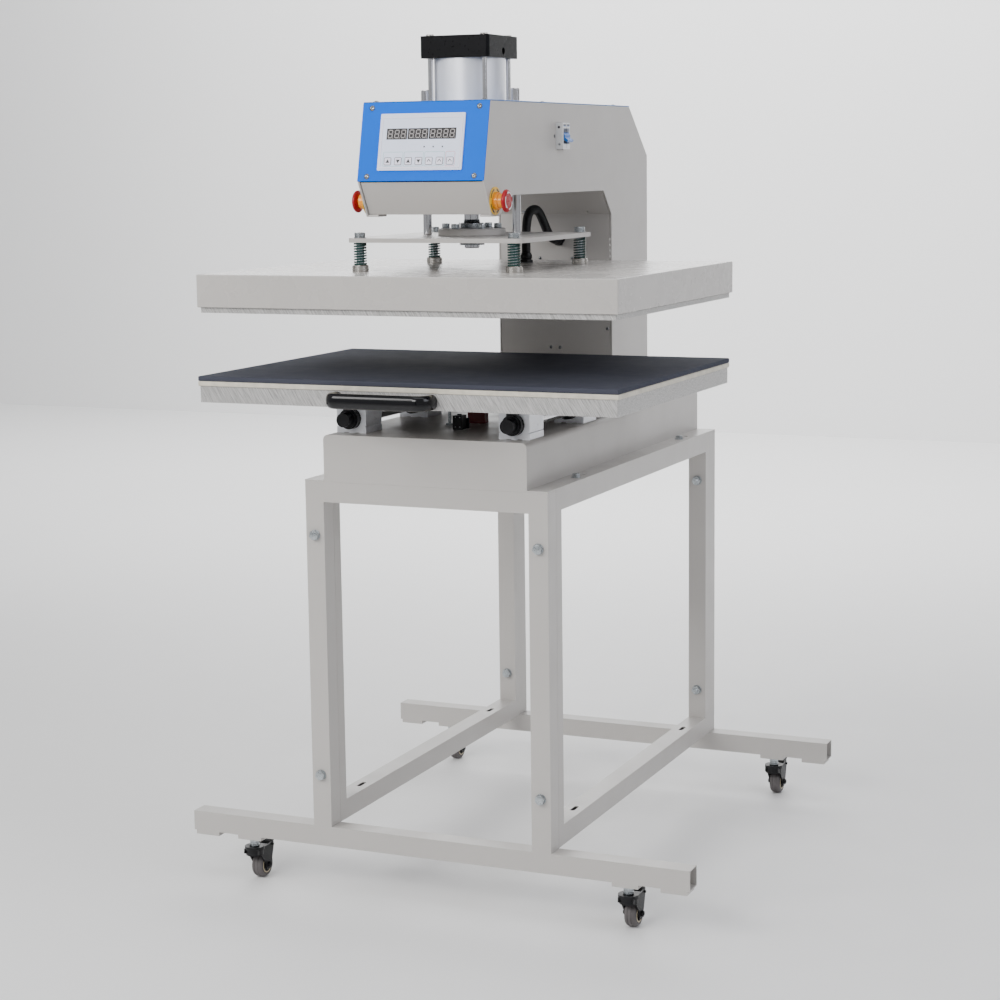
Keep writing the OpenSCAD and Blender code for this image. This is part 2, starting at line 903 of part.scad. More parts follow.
module head_top_cover() {
    color([0.05, 0.30, 0.62])
        place()
            difference() {
                box([-head_w / 2, face_top_y, head_top],
                    [head_w / 2, column_back - back_chamfer, head_top + sheet_t]);
                rod_z([0, press_y, head_top - 1], barrel_d / 2 + 2, sheet_t + 2);
                for (s = [-1, 1]) {
                    rod_z([s * guide_x, press_y, head_top - 1], guide_d / 2 + 2, sheet_t + 2);
                    for (q = [-1, 1])
                        rod_z([s * tie_pitch / 2, press_y + q * tie_pitch / 2, head_top - 1],
                              tie_d / 2 + 1.5, sheet_t + 2);
                }
                for (p = top_screws)
                    rod_z([p.x, p.y, head_top - 1], screw_hole_r, sheet_t + 2);
            }
}

// Puts its children on the sloping face: X right, Y up the slope from the chin, Z outwards
module on_face() {
    translate([0, face_low_y, chin_z])
        rotate([90 - face_tilt, 0, 0])
            children();
}

// Screw places on the nose panel, as [x, distance up the slope]
panel_screws = [for (s = [-1, 1], v = [9, face_len - 10]) [s * panel_screw_x, v]];

module nose_panel() {
    color([0.0, 0.51, 0.89])
        place()
            on_face()
                difference() {
                    translate([-head_w / 2, 0.5, 0])
                        cube([head_w, face_len - 0.5, sheet_t]);
                    for (p = panel_screws)
                        translate([p.x, p.y, -1])
                            cylinder(r = screw_hole_r, h = sheet_t + 2);
                }
}

module nose_lower_cover() {
    z1 = nose_z + plate_t;
    t = sheet_t;
    color([0.74, 0.73, 0.72])
        place()
            slab_x([[face_low_y + 3, chin_z - 1], [nose_low_y + 3, z1], [nose_back_y - 1, z1],
                    [throat_y - 5, throat_z - 1], [throat_y - 5 - 1.5 * t, throat_z - 1],
                    [nose_back_y - 2, z1 + t], [nose_low_y + 4.2, z1 + t],
                    [face_low_y + 5.4, chin_z - 1]], -cover_half, cover_half);
}

module control_module() {
    color([0.88, 0.89, 0.95])
        place()
            on_face()
                translate([-2, face_len / 2 - 1, sheet_t])
                    round_plate(module_w, module_h, module_t, 2);
}

// A pan-head screw whose head, of radius r, stands on the plane z = 0
module pan_screw(r) {
    cylinder(r = r, h = 2.2);
    translate([0, 0, -5])
        cylinder(r = screw_r, h = 5.5);
}

module cover_screws() {
    color([0.70, 0.71, 0.72])
        place() {
            for (p = panel_screws)
                on_face()
                    translate([p.x, p.y, sheet_t])
                        pan_screw(5.3);
            for (p = top_screws)
                translate([p.x, p.y, head_top + sheet_t])
                    pan_screw(5.3);
            for (p = column_screws)
                translate([p.x, column_y, p.y])
                    rotate([90, 0, 0])
                        pan_screw(3.4);
            on_chamfer()
                translate([slope_holes[0], 6, 0])
                    pan_screw(3.4);
            translate([head_w / 2, breaker_y - 8, breaker_z])
                rotate([0, 90, 0])
                    pan_screw(3.4);
        }
}

module bearing_plate() {
    color([0.45, 0.45, 0.46])
        place()
            difference() {
                box([-inner_x, throat_y, throat_z],
                    [inner_x, column_y - chamfer - clear, bearing_top]);
                rod_z([0, press_y, throat_z - 1], rod_d / 2 + 4, bearing_t + 2);
                for (s = [-1, 1])
                    rod_z([s * guide_x, press_y, throat_z - 1], bushing_r, bearing_t + 2);
            }
}

// ---------- cylinder ----------

module tie_holes(z, h, r) {
    for (sx = [-1, 1], sy = [-1, 1])
        rod_z([sx * tie_pitch / 2, press_y + sy * tie_pitch / 2, z], r, h);
}

module cylinder_caps() {
    color([0.09, 0.09, 0.10])
        place() {
            difference() {
                translate([0, press_y, bearing_top])
                    round_plate(cap_w, cap_w, cap_h, 6);
                rod_z([0, press_y, bearing_top - 1], rod_d / 2 + fit, cap_h + 2);
                tie_holes(cap1_top - tie_depth, tie_depth + 1, tie_d / 2);
            }
            difference() {
                translate([0, press_y, cap2_z])
                    round_plate(cap_w, cap_w, cap_h, 6);
                tie_holes(cap2_z - 1, tie_depth + 1, tie_d / 2);
                rod_x([cap_w / 2 - port_l, press_y, cap2_z + 12], port_r, port_l + 1);
            }
        }
}

module cylinder_barrel() {
    color([0.80, 0.81, 0.83])
        place()
            difference() {
                rod_z([0, press_y, cap1_top], barrel_d / 2, barrel_l);
                rod_z([0, press_y, cap1_top - 1], bore_d / 2, barrel_l + 2);
            }
}

module tie_rods() {
    color([0.70, 0.71, 0.73])
        place()
            tie_holes(cap1_top - tie_depth, barrel_l + 2 * tie_depth, tie_d / 2);
}

module piston_rod() {
    color([0.82, 0.83, 0.85])
        place()
            union() {
                rod_z([0, press_y, rod_bottom], rod_d / 2, piston_z - rod_bottom + 1);
                rod_z([0, press_y, piston_z], bore_d / 2 - fit, piston_t);
            }
}

// ---------- carriage ----------

module spring_places() {
    for (sx = [-1, 1], sy = [-1, 1])
        translate([sx * spring_x, press_y + sy * spring_y, 0])
            children();
}

module pressure_plate() {
    color([0.72, 0.71, 0.71])
        place()
            difference() {
                translate([0, press_y, press_z])
                    round_plate(press_w, press_d, press_t, 14);
                spring_places()
                    rod_z([0, 0, press_z - 1], hang_d / 2 + 0.6, press_t + 2);
                rod_z([0, press_y, press_z - 1], rod_d / 2, press_t + 2);
            }
}

module piston_coupling() {
    color([0.66, 0.66, 0.67])
        place() {
            difference() {
                rod_z([0, press_y, press_top], coupling_d / 2, coupling_t);
                rod_z([0, press_y, press_top - 1], rod_d / 2, coupling_t + 2);
            }
            for (i = [0:5])
                translate([0, press_y, coupling_top])
                    rotate([0, 0, 60 * i + 15])
                        rod_z([coupling_d / 2 - 14, 0, 0], 7.5, 9);
            difference() {
                hex_z([0, press_y, coupling_top], nut_af, nut_h);
                rod_z([0, press_y, coupling_top - 1], rod_d / 2, nut_h + 2);
            }
            difference() {
                hex_z([0, press_y, press_z - nut_h], nut_af, nut_h);
                rod_z([0, press_y, press_z - nut_h - 1], rod_d / 2, nut_h + 2);
            }
        }
}

module guide_rods() {
    color([0.84, 0.85, 0.87])
        place()
            for (s = [-1, 1])
                rod_z([s * guide_x, press_y, press_top], guide_d / 2, guide_l);
}

// ---------- heated platen ----------

module heater_cover() {
    w = cover_w / 2;
    y1 = cover_front + cover_d;
    color([0.80, 0.79, 0.77])
        place()
            difference() {
                box([-w, cover_front, cover_z], [w, y1, cover_top]);
                box([-w + cover_t, cover_front + cover_t, cover_z - 1],
                    [w - cover_t, y1 - cover_t, cover_top - cover_t]);
                spring_places()
                    rod_z([0, 0, cover_top - cover_t - 1], hang_d / 2 + fit, cover_t + 2);
                rod_z([gland_x, gland_y, cover_top - cover_t - 1], conduit_d / 2, cover_t + 2);
            }
}

module heating_plate() {
    w = cover_w / 2 - heat_inset;
    color([0.80, 0.81, 0.83])
        place()
            difference() {
                box([-w, cover_front + heat_inset, heat_z],
                    [w, cover_front + cover_d - heat_inset, heat_z + heat_t]);
                spring_places()
                    rod_z([0, 0, heat_z + heat_t - hang_depth], hang_d / 2, hang_depth + 1);
            }
}

module insulation_board() {
    w = cover_w / 2 - heat_inset - 4;
    z0 = heat_z + heat_t;
    color([0.85, 0.82, 0.70])
        place()
            difference() {
                box([-w, cover_front + heat_inset + 4, z0],
                    [w, cover_front + cover_d - heat_inset - 4, z0 + insulation_t]);
                spring_places()
                    rod_z([0, 0, z0 - 1], hang_d / 2 + 1, insulation_t + 2);
            }
}

module spring_collars() {
    color([0.72, 0.72, 0.71])
        place()
            spring_places()
                difference() {
                    rod_z([0, 0, cover_top], collar_d / 2, collar_h);
                    rod_z([0, 0, cover_top - 1], hang_d / 2 + fit, collar_h + 2);
                }
}

module suspension_bolts() {
    head_z = press_top + rest_gap;
    foot = heat_z + heat_t - hang_depth;
    color([0.74, 0.75, 0.76])
        place()
            spring_places()
                difference() {
                    union() {
                        rod_z([0, 0, foot], hang_d / 2, head_z - foot + 2);
                        rod_z([0, 0, head_z], hang_d + 1, 1.8);
                        rod_z([0, 0, head_z + 1.8], hang_d / 2 + 3, 8);
                    }
                    translate([0, 0, head_z + 5.5])
                        cylinder(r = 0.42 * hang_d, h = 6, $fn = 6);
                }
}

module suspension_springs() {
    color([0.03, 0.24, 0.20])
        place()
            spring_places()
                difference() {
                    rod_z([0, 0, cover_top + collar_h], spring_d / 2, spring_l - rest_gap);
                    rod_z([0, 0, cover_top + collar_h - 1], spring_d / 2 - 5, spring_l + 2);
                }
}

module platen_gland() {
    r = gland_r;
    color([0.07, 0.07, 0.08])
        place()
            translate([gland_x, gland_y, cover_top])
                difference() {
                    union() {
                        hex_z([0, 0, 0], 2 * r, 6);
                        rod_z([0, 0, 6], r - 1, gland_h - 6);
                    }
                    rod_z([0, 0, -1], conduit_d / 2 - 2, gland_h + 2);
                }
}

// ---------- conduit and glands ----------

// A point of a cubic curve with four control points
function bezier(p, t) =
    let (u = 1 - t)
    u * u * u * p[0] + 3 * u * u * t * p[1] + 3 * u * t * t * p[2] + t * t * t * p[3];

route = concat(
    [for (i = [0:conduit_steps]) bezier(arch_start, i / conduit_steps)],
    [for (i = [1:conduit_steps]) bezier(arch_end, i / conduit_steps)]);

function unit(v) = v / norm(v);

function tangent(i) =
    unit(route[min(i + 1, len(route) - 1)] - route[max(i - 1, 0)]);

function ring(i) =
    let (t = i == 0 ? [0, 0, 1] : i == len(route) - 1 ? [0, 1, 0] : tangent(i),
         u = unit(cross(t, [1, 0, 0])),
         v = cross(t, u))
    [for (k = [0:conduit_sides - 1])
         route[i] + conduit_d / 2 * (cos(360 * k / conduit_sides) * u
                                     + sin(360 * k / conduit_sides) * v)];

module conduit() {
    n = conduit_sides;
    rings = len(route);
    points = [for (i = [0:rings - 1]) each ring(i)];
    walls = [for (i = [0:rings - 2], k = [0:n - 1])
                 [i * n + k, (i + 1) * n + k, (i + 1) * n + (k + 1) % n, i * n + (k + 1) % n]];
    low = [for (k = [0:n - 1]) k];
    high = [for (k = [0:n - 1]) (rings - 1) * n + n - 1 - k];
    color([0.06, 0.06, 0.07])
        place()
            polyhedron(points = points, faces = concat(walls, [low], [high]), convexity = 6);
}

module cable_glands() {
    r = gland_r;
    color([0.07, 0.07, 0.08])
        place() {
            translate([wall_gland_x, column_y, wall_gland_z])
                rotate([90, 0, 0])
                    difference() {
                        union() {
                            hex_z([0, 0, 0], 2 * r, 6);
                            rod_z([0, 0, 6], r - 1, wall_gland_l - 6);
                        }
                        rod_z([0, 0, -1], conduit_d / 2 - 2, wall_gland_l + 2);
                    }
            translate([0, column_back, inlet_z])
                rotate([-90, 0, 0])
                    difference() {
                        union() {
                            hex_z([0, 0, 0], 24, 6);
                            rod_z([0, 0, 6], 10.5, 14);
                        }
                        rod_z([0, 0, -1], 5, 22);
                    }
        }
}

// ---------- drawer ----------

module platen_layer(z, t, over) {
    box([-platen_w / 2 - over, -platen_front - over, z],
        [platen_w / 2 + over, -platen_front + platen_d + over, z + t]);
}

module lower_platen() {
    color([0.76, 0.76, 0.77])
        place()
            platen_layer(platen_z, platen_t, 0);
}

module pad_backing() {
    color([0.87, 0.85, 0.78])
        place()
            platen_layer(platen_top, backing_t, pad_over);
}

module press_pad() {
    color([0.29, 0.30, 0.34])
        place()
            platen_layer(backing_top, rubber_t, pad_over);
}

module pull_handle() {
    r = grip_d / 2;
    rise = grip_h / 2 - r;
    x0 = handle_x - handle_l / 2 + r;
    l = handle_l - 2 * r;
    color([0.05, 0.05, 0.06])
        place()
            union() {
                for (z = [handle_z - rise, handle_z + rise]) {
                    rod_x([x0, grip_y, z], r, l);
                    for (x = [x0, x0 + l])
                        translate([x, grip_y, z])
                            sphere(r = r);
                }
                box([x0, grip_y - r, handle_z - rise], [x0 + l, grip_y + r, handle_z + rise]);
                for (x = [x0, x0 + l])
                    rod_z([x, grip_y, handle_z - rise], r, 2 * rise);
                for (x = [x0 + leg_r - r + 3, x0 + l - leg_r + r - 3])
                    rod_y([x, grip_y, handle_z], leg_r, -platen_front - grip_y);
            }
}

module drawer_shafts() {
    color([0.84, 0.85, 0.87])
        place()
            for (s = [-1, 1])
                rod_y([s * rail_x, hanger_y[0], shaft_z], shaft_d / 2, shaft_back - hanger_y[0]);
}

// A ring round the shaft with a neck up to the platen
module hanger(x, y) {
    difference() {
        union() {
            rod_y([x, y, shaft_z], hanger_r, hanger_t);
            box([x - 10, y, shaft_z], [x + 10, y + hanger_t, platen_z]);
        }
        rod_y([x, y - 1, shaft_z], shaft_d / 2, hanger_t + 2);
    }
}

module drawer_brackets() {
    color([0.07, 0.07, 0.08])
        place() {
            for (s = [-1, 1]) {
                for (y = hanger_y)
                    hanger(s * rail_x, y);
                rod_y([s * rail_x, hanger_y[0] - 5, shaft_z], hanger_r - 2, 5);
                rod_y([s * rail_x, hanger_y[0] - 22, shaft_z], shaft_d / 2 + 0.5, 17);
            }
            box([-5, 195, platen_z - block_h / 2 - 4], [28, 199, platen_z]);
            box([-5, 199, platen_z - 4], [28, 225, platen_z]);
        }
}

// ---------- emergency stops and breaker ----------

// Puts its children on one side plate with Z pointing outwards
module at_estop(s) {
    translate([s * head_w / 2, estop_y, estop_z])
        rotate([0, s * 90, 0])
            children();
}

module estop_base() {
    difference() {
        union() {
            cylinder(r = 25, h = 1.5);
            cylinder(r = 15.5, h = 9);
            translate([0, 0, -plate_t - 4])
                cylinder(r = plug_r, h = plate_t + 4.5);
            translate([0, 0, -plate_t - 7])
                cylinder(r = 14, h = 7);
            translate([-13, -11, -plate_t - 34])
                cube([26, 22, 28]);
        }
        translate([0, 0, 3])
            cylinder(r = skirt_r + fit, h = 10);
        translate([0, 0, -plate_t - 20])
            cylinder(r = plunger_r + fit, h = plate_t + 25);
    }
}

module estop_bases() {
    color([0.95, 0.68, 0.08])
        place()
            for (s = [-1, 1])
                at_estop(s)
                    estop_base();
}

module estop_plunger(s) {
    color([0.70, 0.12, 0.16])
        place()
            at_estop(s)
                union() {
                    translate([0, 0, -plate_t - 12])
                        cylinder(r = plunger_r, h = plate_t + 22);
                    translate([0, 0, 9.5])
                        cylinder(r = skirt_r, h = skirt_top - 9.5);
                    cylinder(r = plunger_r, h = skirt_top + 6);
                }
}

module estop_cap(s) {
    color([0.72, 0.12, 0.16])
        place()
            at_estop(s)
                difference() {
                    union() {
                        translate([0, 0, skirt_top + rest_gap])
                            cylinder(r1 = 14, r2 = mushroom_d / 2, h = 4 - rest_gap);
                        translate([0, 0, skirt_top + 4])
                            cylinder(r = mushroom_d / 2, h = 3);
                        translate([0, 0, skirt_top + 7])
                            cylinder(r1 = mushroom_d / 2, r2 = mushroom_d / 2 - 4, h = 3);
                    }
                    translate([0, 0, skirt_top - 1])
                        cylinder(r = plunger_r + fit, h = 7 + rest_gap);
                }
}

module left_estop_plunger() {
    estop_plunger(-1);
}

module right_estop_plunger() {
    estop_plunger(1);
}

module left_estop_cap() {
    estop_cap(-1);
}

module right_estop_cap() {
    estop_cap(1);
}

module breaker_body() {
    y1 = breaker_y + breaker_w;
    x1 = head_w / 2 + 14;
    half = breaker_nose_h / 2;
    color([0.92, 0.92, 0.93])
        place()
            difference() {
                union() {
                    box([inner_x - 46, breaker_y, breaker_z - 40],
                        [inner_x, y1, breaker_z + 40]);
                    box([inner_x - 2, breaker_y, breaker_z - half], [x1, y1, breaker_z + half]);
                }
                box([toggle_x - 9, breaker_y + 4, breaker_z - 14], [x1 + 1, y1 - 4, breaker_z + 14]);
                rod_y([toggle_x, breaker_y + 1.5, breaker_z], pivot_r + fit, breaker_w - 3);
            }
}

module breaker_toggle() {
    y0 = breaker_y + 4.5;
    l = breaker_w - 9;
    color([0.05, 0.38, 0.75])
        place()
            union() {
                rod_y([toggle_x, y0, breaker_z], toggle_r, l);
                rod_y([toggle_x, breaker_y + 2, breaker_z], pivot_r, breaker_w - 4);
                translate([toggle_x, y0, breaker_z])
                    rotate([0, 38, 0])
                        translate([0, 0, -2.5])
                            cube([16, l, 5]);
            }
}

// ---------- drawing ----------

front_leg_frame();
rear_leg_frame();
side_frames();
frame_bolts();
base_housing();
rail_blocks();
linear_bushings();
drawer_switch();
left_side_plate();
right_side_plate();
column_front_cover();
column_rear_cover();
head_top_cover();
nose_panel();
nose_lower_cover();
control_module();
cover_screws();
bearing_plate();
cylinder_caps();
cylinder_barrel();
tie_rods();
estop_bases();
breaker_body();
conduit();
cable_glands();
caster_stems();
heater_cover();
heating_plate();
insulation_board();
spring_collars();
suspension_bolts();
suspension_springs();
platen_gland();
pressure_plate();
piston_coupling();
piston_rod();
guide_rods();
lower_platen();
pad_backing();
press_pad();
pull_handle();
drawer_shafts();
drawer_brackets();
left_estop_plunger();
left_estop_cap();
right_estop_plunger();
right_estop_cap();
breaker_toggle();
fork_at(-1, 0);  // fork_fl
fork_at(1, 0);  // fork_fr
fork_at(-1, 1);  // fork_rl
fork_at(1, 1);  // fork_rr
wheel_at(-1, 0);  // wheel_fl
wheel_at(1, 0);  // wheel_fr
wheel_at(-1, 1);  // wheel_rl
wheel_at(1, 1);  // wheel_rr
pedal_at(-1, 0);  // pedal_fl
pedal_at(1, 0);  // pedal_fr
pedal_at(-1, 1);  // pedal_rl
pedal_at(1, 1);  // pedal_rr
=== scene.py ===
# Looks for the pneumatic heat press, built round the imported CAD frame. Metres; X right, -Y front, Z up.
import json
import math
import random

import bmesh
import bpy
from mathutils import Matrix, Vector


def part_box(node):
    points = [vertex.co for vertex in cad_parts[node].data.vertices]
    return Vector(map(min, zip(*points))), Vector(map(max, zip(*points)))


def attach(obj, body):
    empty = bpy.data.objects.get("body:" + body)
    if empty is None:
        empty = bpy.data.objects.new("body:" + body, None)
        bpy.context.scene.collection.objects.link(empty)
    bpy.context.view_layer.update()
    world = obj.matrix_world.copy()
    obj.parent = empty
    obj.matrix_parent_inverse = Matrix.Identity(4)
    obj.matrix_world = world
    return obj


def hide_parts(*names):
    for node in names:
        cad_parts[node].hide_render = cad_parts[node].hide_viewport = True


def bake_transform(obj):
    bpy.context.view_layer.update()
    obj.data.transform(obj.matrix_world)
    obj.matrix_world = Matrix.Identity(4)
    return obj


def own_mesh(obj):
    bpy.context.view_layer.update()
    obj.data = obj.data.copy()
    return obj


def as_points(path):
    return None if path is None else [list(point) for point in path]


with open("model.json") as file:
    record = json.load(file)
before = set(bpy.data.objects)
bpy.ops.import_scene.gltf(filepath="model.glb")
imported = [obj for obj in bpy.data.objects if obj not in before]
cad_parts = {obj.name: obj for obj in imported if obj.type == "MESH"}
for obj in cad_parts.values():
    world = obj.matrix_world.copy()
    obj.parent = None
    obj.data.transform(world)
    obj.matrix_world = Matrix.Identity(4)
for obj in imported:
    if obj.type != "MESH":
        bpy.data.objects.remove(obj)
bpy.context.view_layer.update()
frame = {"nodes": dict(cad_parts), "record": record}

NODES = frame["nodes"]
RECORD = frame["record"]
BODY = {n: b for b, ns in RECORD["behaviour"]["bodies"].items() for n in ns}
TURN = 2 * math.pi
rng = random.Random(7)


def mid(box):
    return (box[0] + box[1]) / 2


def move(x, y, z):
    return Matrix.Translation((x, y, z))


def spin(angle):
    return Matrix.Rotation(angle, 4, "Z")


# ---------------------------------------------------------------- camera and light
VIEW_YAW, VIEW_PITCH, VIEW_ROLL = 23.652, 8.653, -0.720
CAMERA_AT = (1.6920, -3.9481, 1.3702)
SENSOR = 36
LENS = 2.193 * SENSOR

cam = bpy.data.cameras.new("camera")
cam.lens, cam.sensor_width, cam.shift_y = LENS, SENSOR, -0.0074
cam.clip_end = 60
cam_obj = bpy.data.objects.new("camera", cam)
cam_obj.matrix_world = (
    Matrix.Translation(CAMERA_AT)
    @ spin(math.radians(VIEW_YAW))
    @ Matrix.Rotation(math.radians(90 - VIEW_PITCH), 4, "X")
    @ spin(math.radians(VIEW_ROLL))
)
bpy.context.scene.collection.objects.link(cam_obj)
bpy.context.scene.camera = cam_obj


def soft_light(name, at, look, size, power, color=(1, 1, 1)):
    data = bpy.data.lights.new(name, "AREA")
    data.shape, data.size, data.size_y = "RECTANGLE", size[0], size[1]
    data.energy, data.color = power, color
    o = bpy.data.objects.new(name, data)
    o.location = at
    o.rotation_mode = "QUATERNION"
    o.rotation_quaternion = (Vector(look) - Vector(at)).to_track_quat("-Z", "Y")
    bpy.context.scene.collection.objects.link(o)


soft_light("key_left", (-2.6, -3.4, 3.3), (0, 0, 0.9), (2.0, 2.0), 110, (1, 0.99, 0.97))
soft_light("fill_right", (3.4, -0.6, 2.7), (0, 0.1, 1.3), (2.4, 2.0), 54, (0.90, 0.92, 1))
soft_light("top", (0.2, -0.4, 3.9), (0, 0, 0), (2.6, 2.6), 34)
soft_light("front_fill", (-0.6, -3.9, 2.6), (0, -0.3, 1.4), (1.6, 1.2), 78, (1, 0.995, 0.985))
soft_light("back", (-1.6, 3.6, 2.6), (0, 0, 1.0), (2.4, 2.0), 30)

world = bpy.data.worlds.new("studio")
bpy.context.scene.world = world
world.use_nodes = True
world.node_tree.nodes["Background"].inputs[0].default_value = (0.95, 0.96, 0.98, 1)
world.node_tree.nodes["Background"].inputs[1].default_value = 0.50


# ---------------------------------------------------------------- materials
def shader(name):
    m = bpy.data.materials.new(name)
    m.use_nodes = True
    tree = m.node_tree
    bsdf = tree.nodes["Principled BSDF"]
    where = tree.nodes.new("ShaderNodeTexCoord").outputs["Object"]
    return m, tree, bsdf, where


def stretched(tree, where, scale, turn=(0, 0, 0)):
    """The place, turned and then drawn out along its axes."""
    for name, value in (("Rotation", turn), ("Scale", scale)):
        n = tree.nodes.new("ShaderNodeMapping")
        n.inputs[name].default_value = value
        tree.links.new(where, n.inputs["Vector"])
        where = n.outputs["Vector"]
    return where


def noise(tree, where, scale, detail=2.0, rough=0.5):
    n = tree.nodes.new("ShaderNodeTexNoise")
    n.inputs["Scale"].default_value = scale
    n.inputs["Detail"].default_value = detail
    n.inputs["Roughness"].default_value = rough
    tree.links.new(where, n.inputs["Vector"])
    return n.outputs["Fac"]


def ramp(tree, fac, low, high, a=0.3, b=0.7):
    n = tree.nodes.new("ShaderNodeValToRGB")
    n.color_ramp.elements[0].position, n.color_ramp.elements[1].position = a, b
    n.color_ramp.elements[0].color = (*low, 1) if hasattr(low, "__len__") else (low, low, low, 1)
    n.color_ramp.elements[1].color = (*high, 1) if hasattr(high, "__len__") else (high, high, high, 1)
    tree.links.new(fac, n.inputs["Fac"])
    return n.outputs["Color"]


def bump(tree, bsdf, height, distance, strength=1.0, chain=None):
    n = tree.nodes.new("ShaderNodeBump")
    n.inputs["Distance"].default_value = distance
    n.inputs["Strength"].default_value = strength
    tree.links.new(height, n.inputs["Height"])
    if chain is not None:
        tree.links.new(chain, n.inputs["Normal"])
    tree.links.new(n.outputs["Normal"], bsdf.inputs["Normal"])
    return n.outputs["Normal"]


def hatched(name, lean):
    """Sawn and milled aluminium: fine slanting cutter lines over a broad shimmer."""
    m, tree, bsdf, where = shader(name)
    lines = noise(tree, stretched(tree, where, (34, 34, 1.6), (0, lean, 0)), 22, 3, 0.7)
    broad = noise(tree, where, 9, 3)
    mix = tree.nodes.new("ShaderNodeMix")
    mix.data_type = "RGBA"
    tree.links.new(ramp(tree, broad, 0.25, 0.6), mix.inputs["Factor"])
    tree.links.new(ramp(tree, lines, (0.23, 0.225, 0.22), (0.60, 0.59, 0.58), 0.36, 0.62), mix.inputs["A"])
    tree.links.new(ramp(tree, lines, (0.33, 0.325, 0.32), (0.53, 0.52, 0.51), 0.36, 0.62), mix.inputs["B"])
    tree.links.new(mix.outputs["Result"], bsdf.inputs["Base Color"])
    tree.links.new(ramp(tree, lines, 0.50, 0.34), bsdf.inputs["Roughness"])
    bump(tree, bsdf, lines, 0.00025)
    bsdf.inputs["Metallic"].default_value = 0.6
    return m


def tint(c, k):
    return tuple(min(1, v * k) for v in c)


def surface(name, color, rough=(0.35, 0.5), metal=0.0, vary=0.05, cloud=5.0, grain=900.0,
            depth=0.00004, stretch=None, turn=(0, 0, 0), coat=0.0, sheen=0.0, spec=0.5,
            broad=0.0):
    """A finish with cloudy colour, a fine grain in its bump and its own roughness spread."""
    m, tree, bsdf, where = shader(name)
    tree.links.new(ramp(tree, noise(tree, where, cloud, 4), tint(color, 1 - vary), tint(color, 1 + vary)),
                   bsdf.inputs["Base Color"])
    fine_at = stretched(tree, where, stretch, turn) if stretch else where
    fine = noise(tree, fine_at, grain, 2)
    tree.links.new(ramp(tree, noise(tree, fine_at if stretch else where, grain / 12 if stretch else cloud * 7, 4),
                        rough[0], rough[1]), bsdf.inputs["Roughness"])
    chain = None
    if broad:
        chain = bump(tree, bsdf, noise(tree, where, 22, 2), broad)
    bump(tree, bsdf, fine, depth, chain=chain)
    bsdf.inputs["Metallic"].default_value = metal
    bsdf.inputs["Coat Weight"].default_value = coat
    bsdf.inputs["Coat Roughness"].default_value = 0.12
    bsdf.inputs["Sheen Weight"].default_value = sheen
    bsdf.inputs["Specular IOR Level"].default_value = spec
    return m


COAT = (0.455, 0.435, 0.415)
powder = surface("powder_coat", COAT, (0.30, 0.42), vary=0.025, cloud=3, grain=1100,
                 depth=0.00003, broad=0.00012)
powder_gloss = surface("powder_coat_top", COAT, (0.22, 0.32), vary=0.02, cloud=3, grain=1000, depth=0.000015)
blue = surface("blue_coat", (0.0, 0.125, 0.70), (0.45, 0.55), vary=0.03, cloud=6, grain=1200, depth=0.00003,
               spec=0.03)
blue_dark = surface("blue_coat_top", (0.0, 0.12, 0.42), (0.25, 0.38), vary=0.03, cloud=6, grain=1200,
                    depth=0.00003)
film = surface("membrane_film", (0.66, 0.72, 0.90), (0.30, 0.42), vary=0.015, cloud=20, grain=2600,
               depth=0.00001)
film_edge = surface("film_frame", (0.74, 0.72, 0.86), (0.25, 0.35), vary=0.015, cloud=20, grain=2600,
                    depth=0.00001)
zinc = surface("zinc_plate", (0.42, 0.45, 0.47), (0.20, 0.38), 1.0, vary=0.10, cloud=90, grain=1500,
               depth=0.00003)
chrome = surface("ground_chrome", (0.62, 0.62, 0.64), (0.07, 0.16), 1.0, vary=0.03, cloud=20, grain=400,
                 depth=0.000004, stretch=(1, 1, 14))
turned = surface("turned_steel", (0.50, 0.48, 0.45), (0.18, 0.34), 1.0, vary=0.08, cloud=40, grain=300,
                 depth=0.00002, stretch=(1, 1, 12))
turned_dark = surface("oiled_steel", (0.24, 0.25, 0.26), (0.16, 0.30), 1.0, vary=0.10, cloud=60, grain=400,
                      depth=0.00002)
satin = surface("satin_aluminium", (0.84, 0.85, 0.90), (0.30, 0.40), 0.45, vary=0.03, cloud=12, depth=0.000004)
extruded = surface("extruded_aluminium", (0.86, 0.87, 0.91), (0.28, 0.42), 0.35, cloud=30, grain=240,
                   depth=0.00002, stretch=(20, 1, 20))
cast = surface("cast_aluminium", (0.56, 0.56, 0.58), (0.34, 0.55), 0.9, vary=0.12, cloud=40, grain=500,
               depth=0.00012)
milled = hatched("milled_aluminium", 0.55)
anodised = surface("black_anodised", (0.003, 0.003, 0.004), (0.26, 0.38), 0.0, vary=0.2, cloud=30,
                   depth=0.00002, spec=0.10)
enamel = surface("green_enamel", (0.002, 0.035, 0.030), (0.16, 0.30), vary=0.2, cloud=80, depth=0.00003,
                 coat=0.15)
felt = surface("cream_felt", (0.60, 0.56, 0.47), (0.85, 0.98), vary=0.12, cloud=60, depth=0.0004,
               stretch=(1, 1, 3), sheen=0.3)
board = surface("fibre_board", (0.62, 0.56, 0.42), (0.8, 0.95), vary=0.12, cloud=60, grain=700, depth=0.0003,
                stretch=(1, 1, 3))
rubber = surface("pad_rubber", (0.052, 0.055, 0.073), (0.80, 0.92), cloud=5, grain=1300, depth=0.00006,
                 spec=0.08)
gloss_black = surface("gloss_black", (0.002, 0.002, 0.003), (0.10, 0.18), vary=0.2, cloud=40, grain=500,
                      depth=0.00001, spec=0.4)
matte_black = surface("matte_black", (0.004, 0.004, 0.005), (0.30, 0.45), vary=0.25, cloud=50, grain=1300,
                      depth=0.00004, spec=0.28)
yellow = surface("estop_yellow", (0.85, 0.30, 0.005), (0.22, 0.34), cloud=60, depth=0.00001, coat=0.3)
